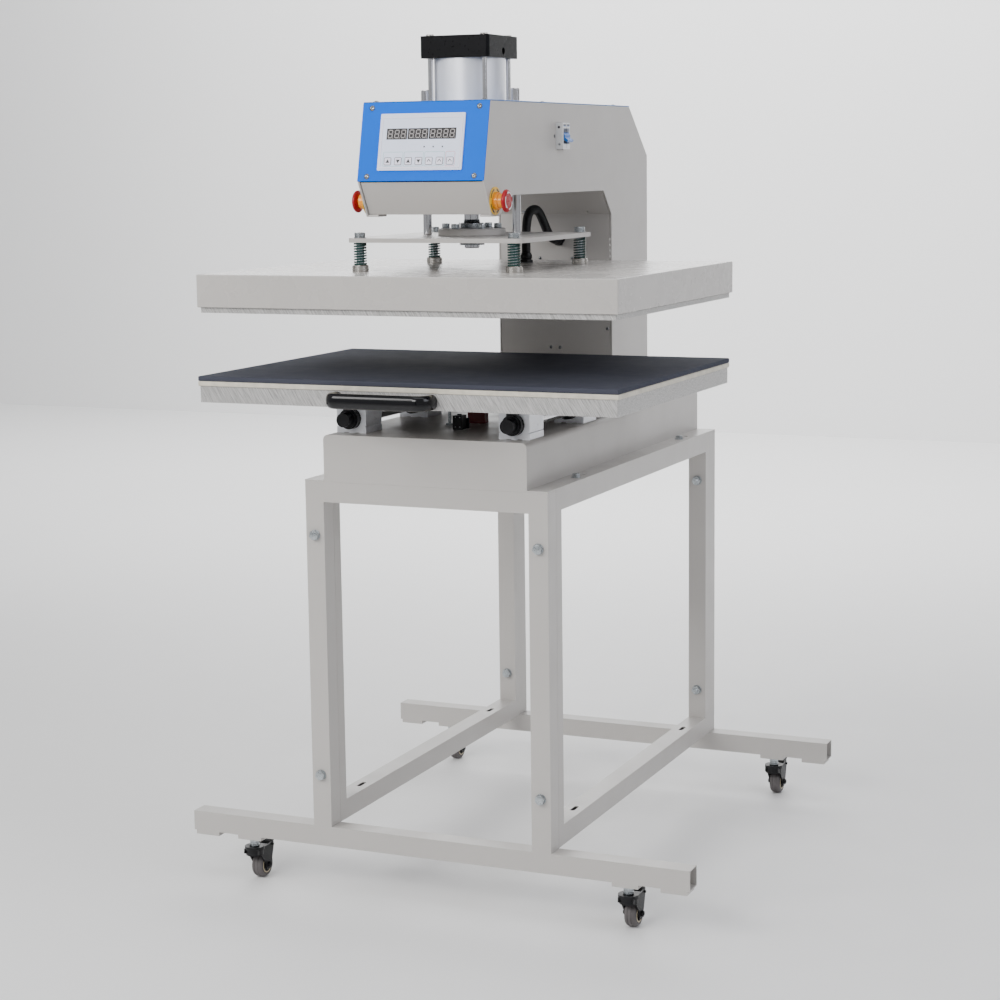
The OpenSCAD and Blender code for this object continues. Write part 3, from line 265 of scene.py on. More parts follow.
legend = surface("legend_yellow", (0.80, 0.50, 0.02), (0.35, 0.5), vary=0.06, cloud=60, depth=0.00001)
red = surface("estop_red", (0.34, 0.004, 0.010), (0.24, 0.36), vary=0.08, cloud=60, depth=0.00001, spec=0.3)
white = surface("white_plastic", (0.72, 0.73, 0.74), (0.28, 0.42), vary=0.03, cloud=60, grain=1200,
                depth=0.00002)
toggle_blue = surface("toggle_blue", (0.01, 0.14, 0.50), (0.22, 0.34), cloud=60, depth=0.00001)
tyre = surface("tyre", (0.095, 0.086, 0.086), (0.50, 0.66), vary=0.15, cloud=40, depth=0.00008)
hub = surface("hub_black", (0.006, 0.006, 0.007), (0.25, 0.38), vary=0.1, cloud=60, depth=0.00003)
beige = surface("ring_beige", (0.52, 0.44, 0.30), (0.4, 0.55), vary=0.06, cloud=60, depth=0.00003)
display = surface("display_glass", (0.012, 0.010, 0.012), (0.2, 0.3), vary=0.1, cloud=40, depth=0.000004,
                  spec=0.15)
segment = surface("segment_grey", (0.30, 0.28, 0.28), (0.3, 0.45), cloud=60, depth=0.00001)
ink = surface("ink_dark", (0.015, 0.014, 0.02), (0.4, 0.6), vary=0.2, cloud=60, depth=0.00001)
ink_grey = surface("ink_grey", (0.035, 0.035, 0.045), (0.4, 0.6), vary=0.2, cloud=60, depth=0.00001)
ink_green = surface("ink_green", (0.25, 0.56, 0.50), (0.4, 0.6), vary=0.1, cloud=60, depth=0.00001)
ink_red = surface("ink_red", (0.75, 0.22, 0.25), (0.4, 0.6), vary=0.1, cloud=60, depth=0.00001)
brick_red = surface("dark_red_paint", (0.17, 0.012, 0.012), (0.35, 0.5), vary=0.15, cloud=50, depth=0.00005)
# Near-black painted shade, laid in socket recesses, cross slots and collar slits where those hollows fall in
# shade.
painted_recess_shade = surface("painted_recess_shade", (0.02, 0.02, 0.02), (0.7, 0.9), vary=0.2, cloud=30, grain=300,
                      depth=0.00005)

# ---------------------------------------------------------------- floor and studio cards
floor_mat = surface("floor_paint", (0.83, 0.83, 0.83), (0.55, 0.7), vary=0.004, cloud=1.5, grain=300,
                    depth=0.00002)
flag_mat = surface("flag_cloth", (0.02, 0.02, 0.02), (0.8, 0.95), vary=0.1, cloud=3, grain=200, depth=0.0001)


def linked(name, bm, mats):
    """The mesh as an object in the scene, with its materials."""
    me = bpy.data.meshes.new(name)
    bm.to_mesh(me)
    bm.free()
    for m in mats:
        me.materials.append(m)
    o = bpy.data.objects.new(name, me)
    bpy.context.scene.collection.objects.link(o)
    return o


def card(name, corners, material):
    """A standing card. The dark flags only shade the metal, and no view shows them."""
    bm = bmesh.new()
    bm.faces.new([bm.verts.new(c) for c in corners])
    o = linked(name, bm, [material])
    o.visible_camera = material is not flag_mat


floor = bmesh.new()
bmesh.ops.create_grid(floor, x_segments=8, y_segments=8, size=14)
linked("floor", floor, [floor_mat])
card("backdrop", [(-9, 6.5, -0.01), (9, 6.5, -0.01), (9, 6.5, 8), (-9, 6.5, 8)], floor_mat)
card("flag_left", [(-2.9, 0.2, 0.2), (-2.9, 1.5, 0.2), (-2.9, 1.5, 2.6), (-2.9, 0.2, 2.6)], flag_mat)
card("flag_right", [(3.3, 1.6, 0.2), (3.3, 2.6, 0.2), (3.3, 2.6, 2.6), (3.3, 1.6, 2.6)], flag_mat)
card("flag_front", [(0.1, -5.4, 0.2), (0.8, -5.4, 0.2), (0.8, -5.4, 2.6), (0.1, -5.4, 2.6)], flag_mat)
soft_light("backdrop_wash", (-1.5, 3.6, 4.2), (-1.5, 6.5, 1.6), (6.0, 1.5), 420)


# ---------------------------------------------------------------- mesh tools
WELD = 2e-6


def facing(origin, axis=(0, 0, 1), turn=0.0):
    """A matrix that puts Z along axis at origin, turned about it."""
    axis = Vector(axis).normalized()
    if axis.z < -0.999:
        q = Matrix.Rotation(math.pi, 4, "X")
    else:
        q = Vector((0, 0, 1)).rotation_difference(axis).to_matrix().to_4x4()
    return Matrix.Translation(origin) @ q @ spin(turn)


def add(bm, part, mat=0, at=None):
    """Adds a part's mesh to bm, in one of its materials."""
    for f in part.faces:
        f.material_index = mat
    if at is not None:
        part.transform(at)
    me = bpy.data.meshes.new("part")
    part.to_mesh(me)
    part.free()
    bm.from_mesh(me)
    bpy.data.meshes.remove(me)


def soften(bm, edges, r, seg):
    if edges and r > 0:
        bmesh.ops.bevel(bm, geom=edges, offset=r, segments=seg, profile=0.5, affect="EDGES",
                        clamp_overlap=True)


def brick(lo, hi, r=0.0008, seg=2):
    lo, hi = Vector(lo), Vector(hi)
    bm = bmesh.new()
    bmesh.ops.create_cube(bm, size=1)
    size, c = hi - lo, (lo + hi) / 2
    for v in bm.verts:
        v.co = Vector((v.co.x * size.x, v.co.y * size.y, v.co.z * size.z)) + c
    soften(bm, bm.edges[:], min(r, 0.45 * min(size)), seg)
    return bm


def lathe(profile, seg=48):
    """Turns a profile of (radius, height) points round Z. A profile whose ends aren't on the axis is closed."""
    bm = bmesh.new()
    rings = []
    for r, z in profile:
        if r < 1e-7:
            rings.append([bm.verts.new((0, 0, z))])
        else:
            rings.append([bm.verts.new((r * math.cos(TURN * k / seg), r * math.sin(TURN * k / seg), z))
                          for k in range(seg)])
    pairs = list(zip(rings, rings[1:]))
    if len(rings[0]) > 1 and len(rings[-1]) > 1:
        pairs.append((rings[-1], rings[0]))
    for a, b in pairs:
        for k in range(seg):
            n = (k + 1) % seg
            if len(a) == 1 and len(b) > 1:
                bm.faces.new((a[0], b[k], b[n]))
            elif len(b) == 1 and len(a) > 1:
                bm.faces.new((a[k], b[0], a[n]))
            elif len(a) > 1:
                bm.faces.new((a[k], b[k], b[n], a[n]))
    bmesh.ops.recalc_face_normals(bm, faces=bm.faces[:])
    return bm


def rod(r, length, edge=0.0006, seg=40):
    """A round bar with chamfered ends, from 0 up."""
    return lathe([(0, 0), (r - edge, 0), (r, edge), (r, length - edge), (r - edge, length), (0, length)], seg)


def washer(r_out, r_in, t, edge=0.0003, seg=40):
    return lathe([(r_in, 0), (r_out - edge, 0), (r_out, edge), (r_out, t - edge),
                  (r_out - edge, t), (r_in, t)], seg)


def prism(points, height, r=0.0, seg=2):
    """An outline of (x, y) points, raised along Z."""
    bm = bmesh.new()
    low = [bm.verts.new((x, y, 0)) for x, y in points]
    high = [bm.verts.new((x, y, height)) for x, y in points]
    bm.faces.new(low[::-1])
    bm.faces.new(high)
    n = len(points)
    for k in range(n):
        bm.faces.new((low[k], low[(k + 1) % n], high[(k + 1) % n], high[k]))
    bmesh.ops.recalc_face_normals(bm, faces=bm.faces[:])
    soften(bm, [e for e in bm.edges if abs(e.verts[0].co.z - e.verts[1].co.z) < 1e-9], r, seg)
    return bm


def round_rect(w, h, r, n=5, cx=0.0, cy=0.0):
    pts = []
    for k, (sx, sy) in enumerate(((1, 1), (-1, 1), (-1, -1), (1, -1))):
        for i in range(n + 1):
            a = math.pi / 2 * (k + i / n)
            pts.append((cx + sx * (w / 2 - r) + r * math.cos(a), cy + sy * (h / 2 - r) + r * math.sin(a)))
    return pts


def hex_head(af, h, chamfer=0.10, bore=0.0):
    """A hexagon with its corners turned off at the top, as forged bolt heads and nuts have."""
    bm = prism([(af / math.sqrt(3) * math.cos(math.pi / 3 * k), af / math.sqrt(3) * math.sin(math.pi / 3 * k))
                for k in range(6)], h)
    soften(bm, [e for e in bm.edges if e.verts[0].co.z > h / 2 and e.verts[1].co.z > h / 2], chamfer * h * 1.6, 2)
    return bm


def hex_bolt(bm, at, af, h, washer_r, washer_t, mat=0):
    """A washer and a chamfered hexagon head, standing on the plane at 'at'."""
    add(bm, washer(washer_r, af * 0.3, washer_t), mat, at)
    add(bm, hex_head(af, h), mat, at @ move(0, 0, washer_t))
    dish = lathe([(0, -0.0002), (af * 0.36, -0.0002), (af * 0.40, 0.0002), (af * 0.30, 0.0006), (0, 0.0007)], 32)
    add(bm, dish, mat, at @ move(0, 0, washer_t + h))


def socket_screw(bm, at, r, h, mat=0, recess_mat=1, ribs=28):
    """A cap screw: ribbed head, chamfered rim and a hexagon socket."""
    seg = ribs * 2
    body = bmesh.new()
    rows = [(r * 0.90, 0, 0), (r * 0.985, h * 0.08, 1), (r * 0.985, h * 0.78, 1), (r, h * 0.84, 0),
            (r * 0.93, h, 0), (r * 0.60, h, 0)]
    rings = []
    for rr, z, ribbed in rows:
        ring = [(rr * (1.015 if ribbed and k % 2 else 1), TURN * k / seg) for k in range(seg)]
        rings.append([body.verts.new((out * math.cos(a), out * math.sin(a), z)) for out, a in ring])
    for a, b in zip(rings, rings[1:]):
        for k in range(seg):
            n = (k + 1) % seg
            body.faces.new((a[k], a[n], b[n], b[k]))
    body.faces.new(rings[0][::-1])
    add(body, lathe([(r * 0.60, h), (r * 0.52, h * 0.97), (r * 0.52, h * 0.35), (0, h * 0.30)], 6), recess_mat)
    bmesh.ops.recalc_face_normals(body, faces=body.faces[:])
    me = bpy.data.meshes.new("screw")
    # Faces near the axis take recess_mat; most callers give it a near-black painted shade for the socket's
    # hollow.
    for f in body.faces:
        f.material_index = recess_mat if f.calc_center_median().xy.length < r * 0.53 else mat
    body.transform(at)
    body.to_mesh(me)
    body.free()
    bm.from_mesh(me)
    bpy.data.meshes.remove(me)


def pan_head(bm, at, r, h, mat=0, slot_mat=1):
    """A domed head with a cross recess, drawn as two thin bars in a dark painted shade."""
    rows = [(0, 0)] + [(r, 0.0001)] + [(r * math.cos(a), 0.15 * h + 0.85 * h * math.sin(a))
                                      for a in [math.pi / 2 * k / 7 for k in range(7)]] + [(0, h)]
    add(bm, lathe(rows, 28), mat, at)
    for turn in (0, math.pi / 2):
        bar = prism(round_rect(r * 1.05, r * 0.24, r * 0.1, 2), 0.0004, 0.0001)
        add(bm, bar, slot_mat, at @ move(0, 0, h - 0.00025) @ spin(turn + 0.4))


def sweep(points, radius, seg=16, closed_ends=True, radii=None):
    """A tube along points. radii may give each point its own radius."""
    bm = bmesh.new()
    rings = []
    side = None
    n = len(points)
    for i, p in enumerate(points):
        t = (Vector(points[min(i + 1, n - 1)]) - Vector(points[max(i - 1, 0)])).normalized()
        if side is None:
            side = t.cross(Vector((1, 0, 0))) if abs(t.x) < 0.9 else t.cross(Vector((0, 1, 0)))
        side = (side - t * side.dot(t)).normalized()
        other = t.cross(side)
        r = radii[i] if radii else radius
        rings.append([bm.verts.new(Vector(p) + r * (math.cos(a) * side + math.sin(a) * other))
                      for a in [TURN * k / seg for k in range(seg)]])
    for a, b in zip(rings, rings[1:]):
        for k in range(seg):
            bm.faces.new((a[k], a[(k + 1) % seg], b[(k + 1) % seg], b[k]))
    if closed_ends:
        bm.faces.new(rings[0][::-1])
        bm.faces.new(rings[-1])
    bmesh.ops.recalc_face_normals(bm, faces=bm.faces[:])
    return bm


def die_spring(r_out, wire_r, wire_h, length, turns, seg=22):
    """A helical spring of rectangular wire, its ends closed and ground flat."""
    bm = bmesh.new()
    steps = int(turns * seg)
    lift = []
    for i in range(steps + 1):
        u = i / seg
        lead = (length - wire_h) / (turns - 1.5)
        z = 0 if u < 0.75 else min((u - 0.75) * lead, length - wire_h)
        lift.append(z)
    for _ in range(4):
        lift = [lift[0]] + [(lift[k - 1] + 2 * lift[k] + lift[k + 1]) / 4 for k in range(1, steps)] + [lift[-1]]
    rings = []
    c = wire_h * 0.16
    for i in range(steps + 1):
        a = TURN * i / seg
        ring = []
        for dr, dz in ((-wire_r, c), (-wire_r + c, 0), (-c, 0), (0, c), (0, wire_h - c), (-c, wire_h),
                       (-wire_r + c, wire_h), (-wire_r, wire_h - c)):
            r = r_out + dr
            ring.append(bm.verts.new((r * math.cos(a), r * math.sin(a), lift[i] + dz)))
        rings.append(ring)
    for a, b in zip(rings, rings[1:]):
        for k in range(8):
            bm.faces.new((a[k], b[k], b[(k + 1) % 8], a[(k + 1) % 8]))
    bm.faces.new(rings[0])
    bm.faces.new(rings[-1][::-1])
    bmesh.ops.recalc_face_normals(bm, faces=bm.faces[:])
    return bm


def cad_mesh(node):
    """A copy of a CAD node's mesh, with its flat faces whole again."""
    bm = bmesh.new()
    bm.from_mesh(NODES[node].data)
    for f in bm.faces:
        f.material_index = 0
    bmesh.ops.remove_doubles(bm, verts=bm.verts[:], dist=WELD)
    bmesh.ops.dissolve_limit(bm, angle_limit=math.radians(0.4), verts=bm.verts[:], edges=bm.edges[:])
    return bm


def rounded(node, r, seg=2, shortest=0.012, skip=None, angle=40):
    """The CAD shape with its long outside edges rounded."""
    bm = cad_mesh(node)
    edges = []
    for e in bm.edges:
        if not e.is_manifold or e.calc_length() < shortest:
            continue
        if e.calc_face_angle_signed(0) < math.radians(angle):
            continue
        if skip and skip((e.verts[0].co + e.verts[1].co) / 2, e):
            continue
        edges.append(e)
    soften(bm, edges, r, seg)
    return bm


def groups(items, neighbours):
    """The items that hang together, group by group."""
    seen = set()
    for first in items:
        if first.index in seen:
            continue
        seen.add(first.index)
        stack, got = [first], []
        while stack:
            a = stack.pop()
            got.append(a)
            for b in neighbours(a):
                if b.index not in seen:
                    seen.add(b.index)
                    stack.append(b)
        yield got


def merged(node):
    bm = bmesh.new()
    bm.from_mesh(NODES[node].data)
    bmesh.ops.remove_doubles(bm, verts=bm.verts[:], dist=WELD)
    return bm


def solids(node):
    """Lowest and highest corner of each separate solid of a CAD node, by x, then y, then z."""
    bm = merged(node)
    found = []
    for got in groups(bm.verts, lambda v: [e.other_vert(v) for e in v.link_edges]):
        spots = [tuple(v.co) for v in got]
        found.append((Vector(map(min, *spots)), Vector(map(max, *spots))))
    bm.free()
    return sorted(found, key=lambda s: tuple(round(v, 3) for v in s[0]))


def islands(node):
    """Each solid's faces as (normal, centre, area)."""
    bm = merged(node)
    out = [[(f.normal.copy(), f.calc_center_median(), f.calc_area()) for f in got]
           for got in groups(bm.faces, lambda f: [b for e in f.edges for b in e.link_faces])]
    bm.free()
    return out


def round_bars(name, node, material, axis, edge, seg):
    """Round bars with chamfered ends, one for each solid of the node."""
    bm, axis = bmesh.new(), Vector(axis)
    for lo, hi in solids(node):
        long = (hi - lo).dot(axis)
        foot = mid((lo, hi)) - axis * (mid((lo, hi)) - lo).dot(axis)
        add(bm, rod((hi.x - lo.x) / 2, long, edge, seg), 0, facing(foot, axis))
    put(name, bm, material, node)


def bare(name, bm, mats, nodes, sharp=35):
    """Makes the object, smooth but for its sharp edges, in place of its nodes, and riding on nothing yet."""
    limit = math.radians(sharp)
    for f in bm.faces:
        f.smooth = True
    for e in bm.edges:
        e.smooth = len(e.link_faces) == 2 and e.calc_face_angle(0) < limit
    o = linked(name, bm, mats)
    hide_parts(*nodes)
    return o


def put(name, bm, mats, node, sharp=35):
    """As bare(), with even shading, and riding on its node's body."""
    o = bare(name, bm, mats if isinstance(mats, list) else [mats], [node], sharp)
    o.modifiers.new("normals", "WEIGHTED_NORMAL").keep_sharp = True
    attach(o, BODY[node])
    return o


def flat_face(node, towards):
    """The largest flat side of a CAD node that looks the given way: its normal, and a point on it."""
    areas, spot = {}, {}
    towards = Vector(towards).normalized()
    for p in NODES[node].data.polygons:
        if p.normal.dot(towards) > 0.8:
            key = tuple(round(v, 2) for v in p.normal) + (round(p.normal.dot(p.center), 4),)
            areas[key] = areas.get(key, 0) + p.area
            spot[key] = (p.normal.copy(), p.center.copy())
    return spot[max(areas, key=areas.get)]


def on_face(face, x, z, lift=0.0):
    """A matrix on a leaning front face: X to the right, Y up the face, Z out of it, at width x and height z."""
    n, p = face
    y = p.y - (n.z * (z - p.z) + n.x * (x - p.x)) / n.y
    right = Vector((1, 0, 0))
    up = n.cross(right).normalized()
    m = Matrix((right, up, n)).transposed().to_4x4()
    return Matrix.Translation(Vector((x, y, z)) + n * lift) @ m


# ---------------------------------------------------------------- conduit
STAND_MID = 0.428


def curve_route(points, steps):
    (x0, y0, z0), (x1, y1, z1), (x2, y2, z2), (x3, y3, z3) = points
    out = []
    for i in range(steps + 1):
        t = i / steps
        a, b, c, d = (1 - t) ** 3, 3 * t * (1 - t) ** 2, 3 * t * t * (1 - t), t ** 3
        out.append(Vector((a * x0 + b * x1 + c * x2 + d * x3, a * y0 + b * y1 + c * y2 + d * y3 - STAND_MID,
                           a * z0 + b * z1 + c * z2 + d * z3)))
    return out


ROUTE = curve_route([(0.024, 0.430, 1.1903), (0.024, 0.430, 1.248), (0.018, 0.44692, 1.271),
                     (0.018, 0.48828, 1.271)], 60)
ROUTE += curve_route([(0.018, 0.48828, 1.271), (0.018, 0.52964, 1.271), (0.010, 0.566, 1.2075),
                      (0.010, 0.618, 1.2075)], 80)[1:]


def evenly(points, step):
    out, left = [points[0]], step
    for a, b in zip(points, points[1:]):
        d = (b - a).length
        while left <= d:
            out.append(a + (b - a) * (left / d))
            left += step
        left -= d
    if (out[-1] - points[-1]).length > step * 0.3:
        out.append(points[-1])
    else:
        out[-1] = points[-1]
    return out


line = evenly(ROUTE, 0.00065)
CONDUIT_LONG = sum((b - a).length for a, b in zip(line, line[1:]))
ribs = [0.009 - 0.0006 * (0.5 - 0.5 * math.cos(TURN * (k % 4) / 4)) for k in range(len(line))]
conduit_obj = bare("corrugated_conduit", sweep(line, 0.009, 20, radii=ribs), [matte_black], ["conduit"], sharp=80)
tuple(line[4])
tuple(line[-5])
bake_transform(conduit_obj)
tuple(line[0])
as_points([tuple(p) for p in line[::4]] + [tuple(line[-1])])


# ---------------------------------------------------------------- stand
for n in ("front_leg_frame", "rear_leg_frame", "side_frames"):
    put(n + "_tubes", rounded(n, 0.003, 3, 0.018), powder, n)

bolts = bmesh.new()
for lo, hi in solids("frame_bolts"):
    c = mid((lo, hi))
    if hi.z - lo.z > 0.0212 or (hi - lo).y < 0.03:
        at = move(c.x, c.y, hi.z - 0.0071)
        hex_bolt(bolts, at, 0.013, 0.0055, 0.009, 0.0016)
        add(bolts, rod(0.0039, hi.z - lo.z - 0.002, 0.0004), 0, move(c.x, c.y, lo.z))
        continue
    out = -1 if c.y < 0 else 1
    head_y, tail_y = (lo.y, hi.y) if out < 0 else (hi.y, lo.y)
    hex_bolt(bolts, facing((c.x, head_y - out * 0.0085, c.z), (0, out, 0), 0.3), 0.017, 0.0065, 0.010, 0.002)
    at = facing((c.x, tail_y + out * 0.013, c.z), (0, -out, 0), 0.2)
    add(bolts, washer(0.010, 0.0052, 0.002), 0, at)
    add(bolts, hex_head(0.017, 0.008), 0, at @ move(0, 0, 0.002))
    rows = [(0, -0.03)]
    z = -0.03
    while z < 0.0125:
        rows += [(0.0049, z), (0.0044, z + 0.0006)]
        z += 0.0012
    rows += [(0.0040, 0.013), (0, 0.013)]
    add(bolts, lathe(rows, 24), 0, at)
    add(bolts, rod(0.0048, hi.y - lo.y - 0.012, 0.0004, 24), 0,
        facing((c.x, lo.y + 0.006, c.z), (0, 1, 0)))
put("hex_bolts", bolts, zinc, "frame_bolts")

# ---------------------------------------------------------------- casters
for tag in ("fl", "fr", "rl", "rr"):
    fork, wheel, pedal = "fork_" + tag, "wheel_" + tag, "pedal_" + tag
    shell = rounded(fork, 0.0009, 2, 0.005)
    axle = mid(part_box(wheel))
    for s in (-1, 1):
        out = (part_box(fork)[1].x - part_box(fork)[0].x) / 2
        at = facing((axle.x + s * (out - 0.0036), axle.y, axle.z), (s, 0, 0))
        add(shell, hex_head(0.0088, 0.0024, 0.2), 1, at)
        add(shell, rod(0.0028, 0.0034, 0.0004, 20), 1, at)
    put(fork + "_stamping", shell, [matte_black, zinc], fork)
    lo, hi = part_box(wheel)
    c, half = mid((lo, hi)), (hi.x - lo.x) / 2
    r = (hi.z - lo.z) / 2
    shape = [(0.0043, -half), (0.006, -half), (0.0066, -half + 0.0012), (0.0072, -half + 0.003),
             (r - 0.0125, -half + 0.003), (r - 0.0108, -half + 0.001), (r - 0.0085, -half + 0.001),
             (r - 0.0070, -half + 0.0012), (r - 0.0035, -half + 0.0013), (r - 0.0012, -half + 0.0035),
             (r - 0.0002, -half + 0.006), (r, -half + 0.0075), (r - 0.0009, -half + 0.0080),
             (r - 0.0009, -half + 0.0090), (r, -half + 0.0095)]
    full = shape + [(a, -b) for a, b in shape[::-1]]
    w = lathe(full, 72)
    for f in w.faces:
        f.material_index = 0 if f.calc_center_median().xy.length > r - 0.0066 else 1
    w.transform(facing(c, (1, 0, 0)))
    for s in (-1, 1):
        for k in range(6):
            a = math.pi / 3 * k
            spoke = brick((r * 0.30, -0.0011, 0), (r - 0.0122, 0.0011, 0.0019), 0.0004)
            add(w, spoke, 1, facing((c.x + s * (half - 0.0031), c.y, c.z), (s, 0, 0), a))
    for s in (-1, 1):
        band = lathe([(r - 0.0108, 0), (r - 0.0088, 0), (r - 0.0088, 0.0005), (r - 0.0108, 0.0005)], 64)
        add(w, band, 2, facing((c.x + s * (half - 0.0011), c.y, c.z), (s, 0, 0)))
    put(wheel + "_tread", w, [tyre, hub, beige], wheel)
    put(pedal + "_brake", rounded(pedal, 0.0008, 2, 0.006), matte_black, pedal)
stems = bmesh.new()
NUT_Z = 0.0695
for lo, hi in solids("caster_stems"):
    x, y, _ = mid((lo, hi))
    add(stems, rod(0.0069, 0.004, 0.0006), 0, move(x, y, lo.z))
    add(stems, rod(0.0049, hi.z - lo.z - 0.005, 0.0008), 0, move(x, y, lo.z + 0.004))
    add(stems, washer(0.0098, 0.005, 0.0040, 0.0008), 0, move(x, y, NUT_Z))
    add(stems, washer(0.0088, 0.005, 0.0034, 0.0008), 0, move(x, y, NUT_Z + 0.0040))
    add(stems, hex_head(0.016, 0.008), 0, move(x, y, NUT_Z + 0.0075) @ spin(0.35))
put("caster_stem_nuts", stems, zinc, "caster_stems")

# ---------------------------------------------------------------- base housing and slides
put("base_housing_sheet", rounded("base_housing", 0.0012, 2, 0.02), powder, "base_housing")
blocks = rounded("rail_blocks", 0.0009, 2, 0.02)
for lo, hi in solids("rail_blocks"):
    c = mid((lo, hi))
    for sx in (-1, 1):
        for sy in (-1, 1):
            at = move(c.x + sx * 0.0215, c.y + sy * 0.024, hi.z - 0.0008)
            socket_screw(blocks, at, 0.0038, 0.0030, 1, 2, 20)
put("slide_blocks", blocks, [extruded, zinc, painted_recess_shade], "rail_blocks")
put("bushing_sleeves", rounded("linear_bushings", 0.0005, 1, 0.0005, angle=60), turned, "linear_bushings")
round_bars("drawer_shaft_bars", "drawer_shafts", chrome, (0, 1, 0), 0.0015, 56)
SHAFT_Z = 0.9025
hangers = rounded("drawer_brackets", 0.0012, 2, 0.008)
for lo, hi in solids("drawer_brackets"):
    c = mid((lo, hi))
    if abs(c.x) > 0.1 and hi.y - lo.y > 0.02:
        socket_screw(hangers, facing((c.x, lo.y + 0.0003, SHAFT_Z), (0, -1, 0)), 0.0055, 0.0001, 0, 1, 20)
put("shaft_hangers", hangers, [matte_black, zinc], "drawer_brackets")
switch = rounded("drawer_switch", 0.0007, 2, 0.004)
for f in switch.faces:
    spot = f.calc_center_median()
    f.material_index = 2 if spot.y > -0.19 else (1 if spot.x < -0.02 else 0)
for x in (0.0006, 0.0094):
    for z in (0.8985, 0.8805):
        pan_head(switch, facing((x, -0.288, z), (0, -1, 0)), 0.0013, 0.0006, 1, 3)
put("limit_switch", switch, [matte_black, zinc, brick_red, painted_recess_shade], "drawer_switch")

# ---------------------------------------------------------------- platens
put("lower_platen_slab", rounded("lower_platen", 0.0010, 2, 0.02), milled, "lower_platen")
put("felt_layer", rounded("pad_backing", 0.0018, 3, 0.005), felt, "pad_backing")
pad_obj = put("rubber_pad", rounded("press_pad", 0.0022, 3, 0.005), rubber, "press_pad")
put("heating_slab", rounded("heating_plate", 0.0010, 2, 0.02), milled, "heating_plate")
put("insulation_sheet", rounded("insulation_board", 0.0008, 2, 0.02), board, "insulation_board")
put("heater_hood", rounded("heater_cover", 0.0016, 3, 0.02), powder_gloss, "heater_cover")


def squared(v):
    """Turns a circle's sine or cosine into a slightly squared oval's."""
    return math.copysign(abs(v) ** 0.8, v)


hlo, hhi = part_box("pull_handle")
hz, bend, inset = (hlo.z + hhi.z) / 2, 0.018, 0.0110
front_y, wall_y = hlo.y + 0.0105, hhi.y
path = [Vector((hlo.x + inset, wall_y, hz))]
for cx, a0 in ((hlo.x + inset + bend, math.pi), (hhi.x - inset - bend, 1.5 * math.pi)):
    for k in range(11):
        a = a0 + math.pi / 2 * k / 10
        path.append(Vector((cx + bend * math.cos(a), front_y + bend + bend * math.sin(a), hz)))
path.append(Vector((hhi.x - inset, wall_y, hz)))
grip, ring_n = bmesh.new(), 28
rings = []
for i, q in enumerate(path):
    t = (path[min(i + 1, len(path) - 1)] - path[max(i - 1, 0)]).normalized()
    side = t.cross(Vector((0, 0, 1)))
    leg = 1.0 if 0 < i < len(path) - 1 else 0.98
    rings.append([grip.verts.new(q + side * 0.0102 * leg * squared(math.cos(a))
                                 + Vector((0, 0, 0.0138 * leg * squared(math.sin(a)))))
                  for a in [TURN * k / ring_n for k in range(ring_n)]])
for a, b in zip(rings, rings[1:]):
    for k in range(ring_n):
        grip.faces.new((a[k], a[(k + 1) % ring_n], b[(k + 1) % ring_n], b[k]))
grip.faces.new(rings[0][::-1])
grip.faces.new(rings[-1])
bmesh.ops.recalc_face_normals(grip, faces=grip.faces[:])
put("handle_grip", grip, gloss_black, "pull_handle", sharp=60)

# ---------------------------------------------------------------- suspension
springs, collars, hangbolts = bmesh.new(), bmesh.new(), bmesh.new()
for lo, hi in solids("suspension_springs"):
    c = mid((lo, hi))
    add(springs, die_spring((hi.x - lo.x) / 2 - 0.0001, 0.0048, 0.0029, hi.z - lo.z - 0.0002, 9.4), 0,
        move(c.x, c.y, lo.z))
spring_obj = put("die_springs", springs, enamel, "suspension_springs")
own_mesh(spring_obj)
for lo, hi in solids("spring_collars"):
    c, r, h = mid((lo, hi)), (hi.x - lo.x) / 2, hi.z - lo.z
    col = lathe([(0.0052, 0), (r - 0.0008, 0), (r, 0.0008), (r, h - 0.0012), (r - 0.0012, h), (0.0062, h),
                 (0.0052, h - 0.001)], 72)
    add(collars, col, 0, move(c.x, c.y, lo.z))
    # A thin dark strip down each collar stands for its slit: painted shade.
    groove = brick((r - 0.0010, -0.0006, 0.0006), (r + 0.00004, 0.0006, h - 0.0006), 0.0001, 1)
    add(collars, groove, 1, move(c.x, c.y, lo.z) @ spin(-1.9))
put("shaft_collars", collars, [turned, painted_recess_shade], "spring_collars")
for lo, hi in solids("suspension_bolts"):
    c, r = mid((lo, hi)), (hi.x - lo.x) / 2
    seat = hi.z - 0.0098
    add(hangbolts, rod(r - 0.0041, seat - lo.z + 0.002, 0.0004, 32), 0, move(c.x, c.y, lo.z))
    add(hangbolts, washer(r, r - 0.0044, 0.0018, 0.0004), 0, move(c.x, c.y, seat))
    socket_screw(hangbolts, move(c.x, c.y, seat + 0.0018), r - 0.0011, 0.0079, 0, 1, 30)
put("hanger_screws", hangbolts, [zinc, painted_recess_shade], "suspension_bolts")

put("pressure_plate_sheet", rounded("pressure_plate", 0.0009, 2, 0.012), powder, "pressure_plate")
coupling = bmesh.new()
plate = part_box("pressure_plate")
pc, ptop = mid(plate), plate[1].z
cpl = solids("piston_coupling")
flange = max(cpl, key=lambda s: s[1].z)
R = (flange[1].x - flange[0].x) / 2
T = 0.013
at0 = move(pc.x, pc.y, ptop)
disc = [(0.0143, 0), (R - 0.001, 0), (R, 0.001), (R, T - 0.0018), (R - 0.0018, T), (0.0143, T)]
add(coupling, lathe(disc, 96), 0, at0)
for k in range(6):
    at = at0 @ spin(math.radians(60 * k + 15)) @ move(R - 0.014, 0, T)
    add(coupling, washer(0.0088, 0.004, 0.0012), 1, at)
    socket_screw(coupling, at @ move(0, 0, 0.0012), 0.0072, 0.0078, 1, 2, 26)
nut_h = flange[1].z - ptop - T
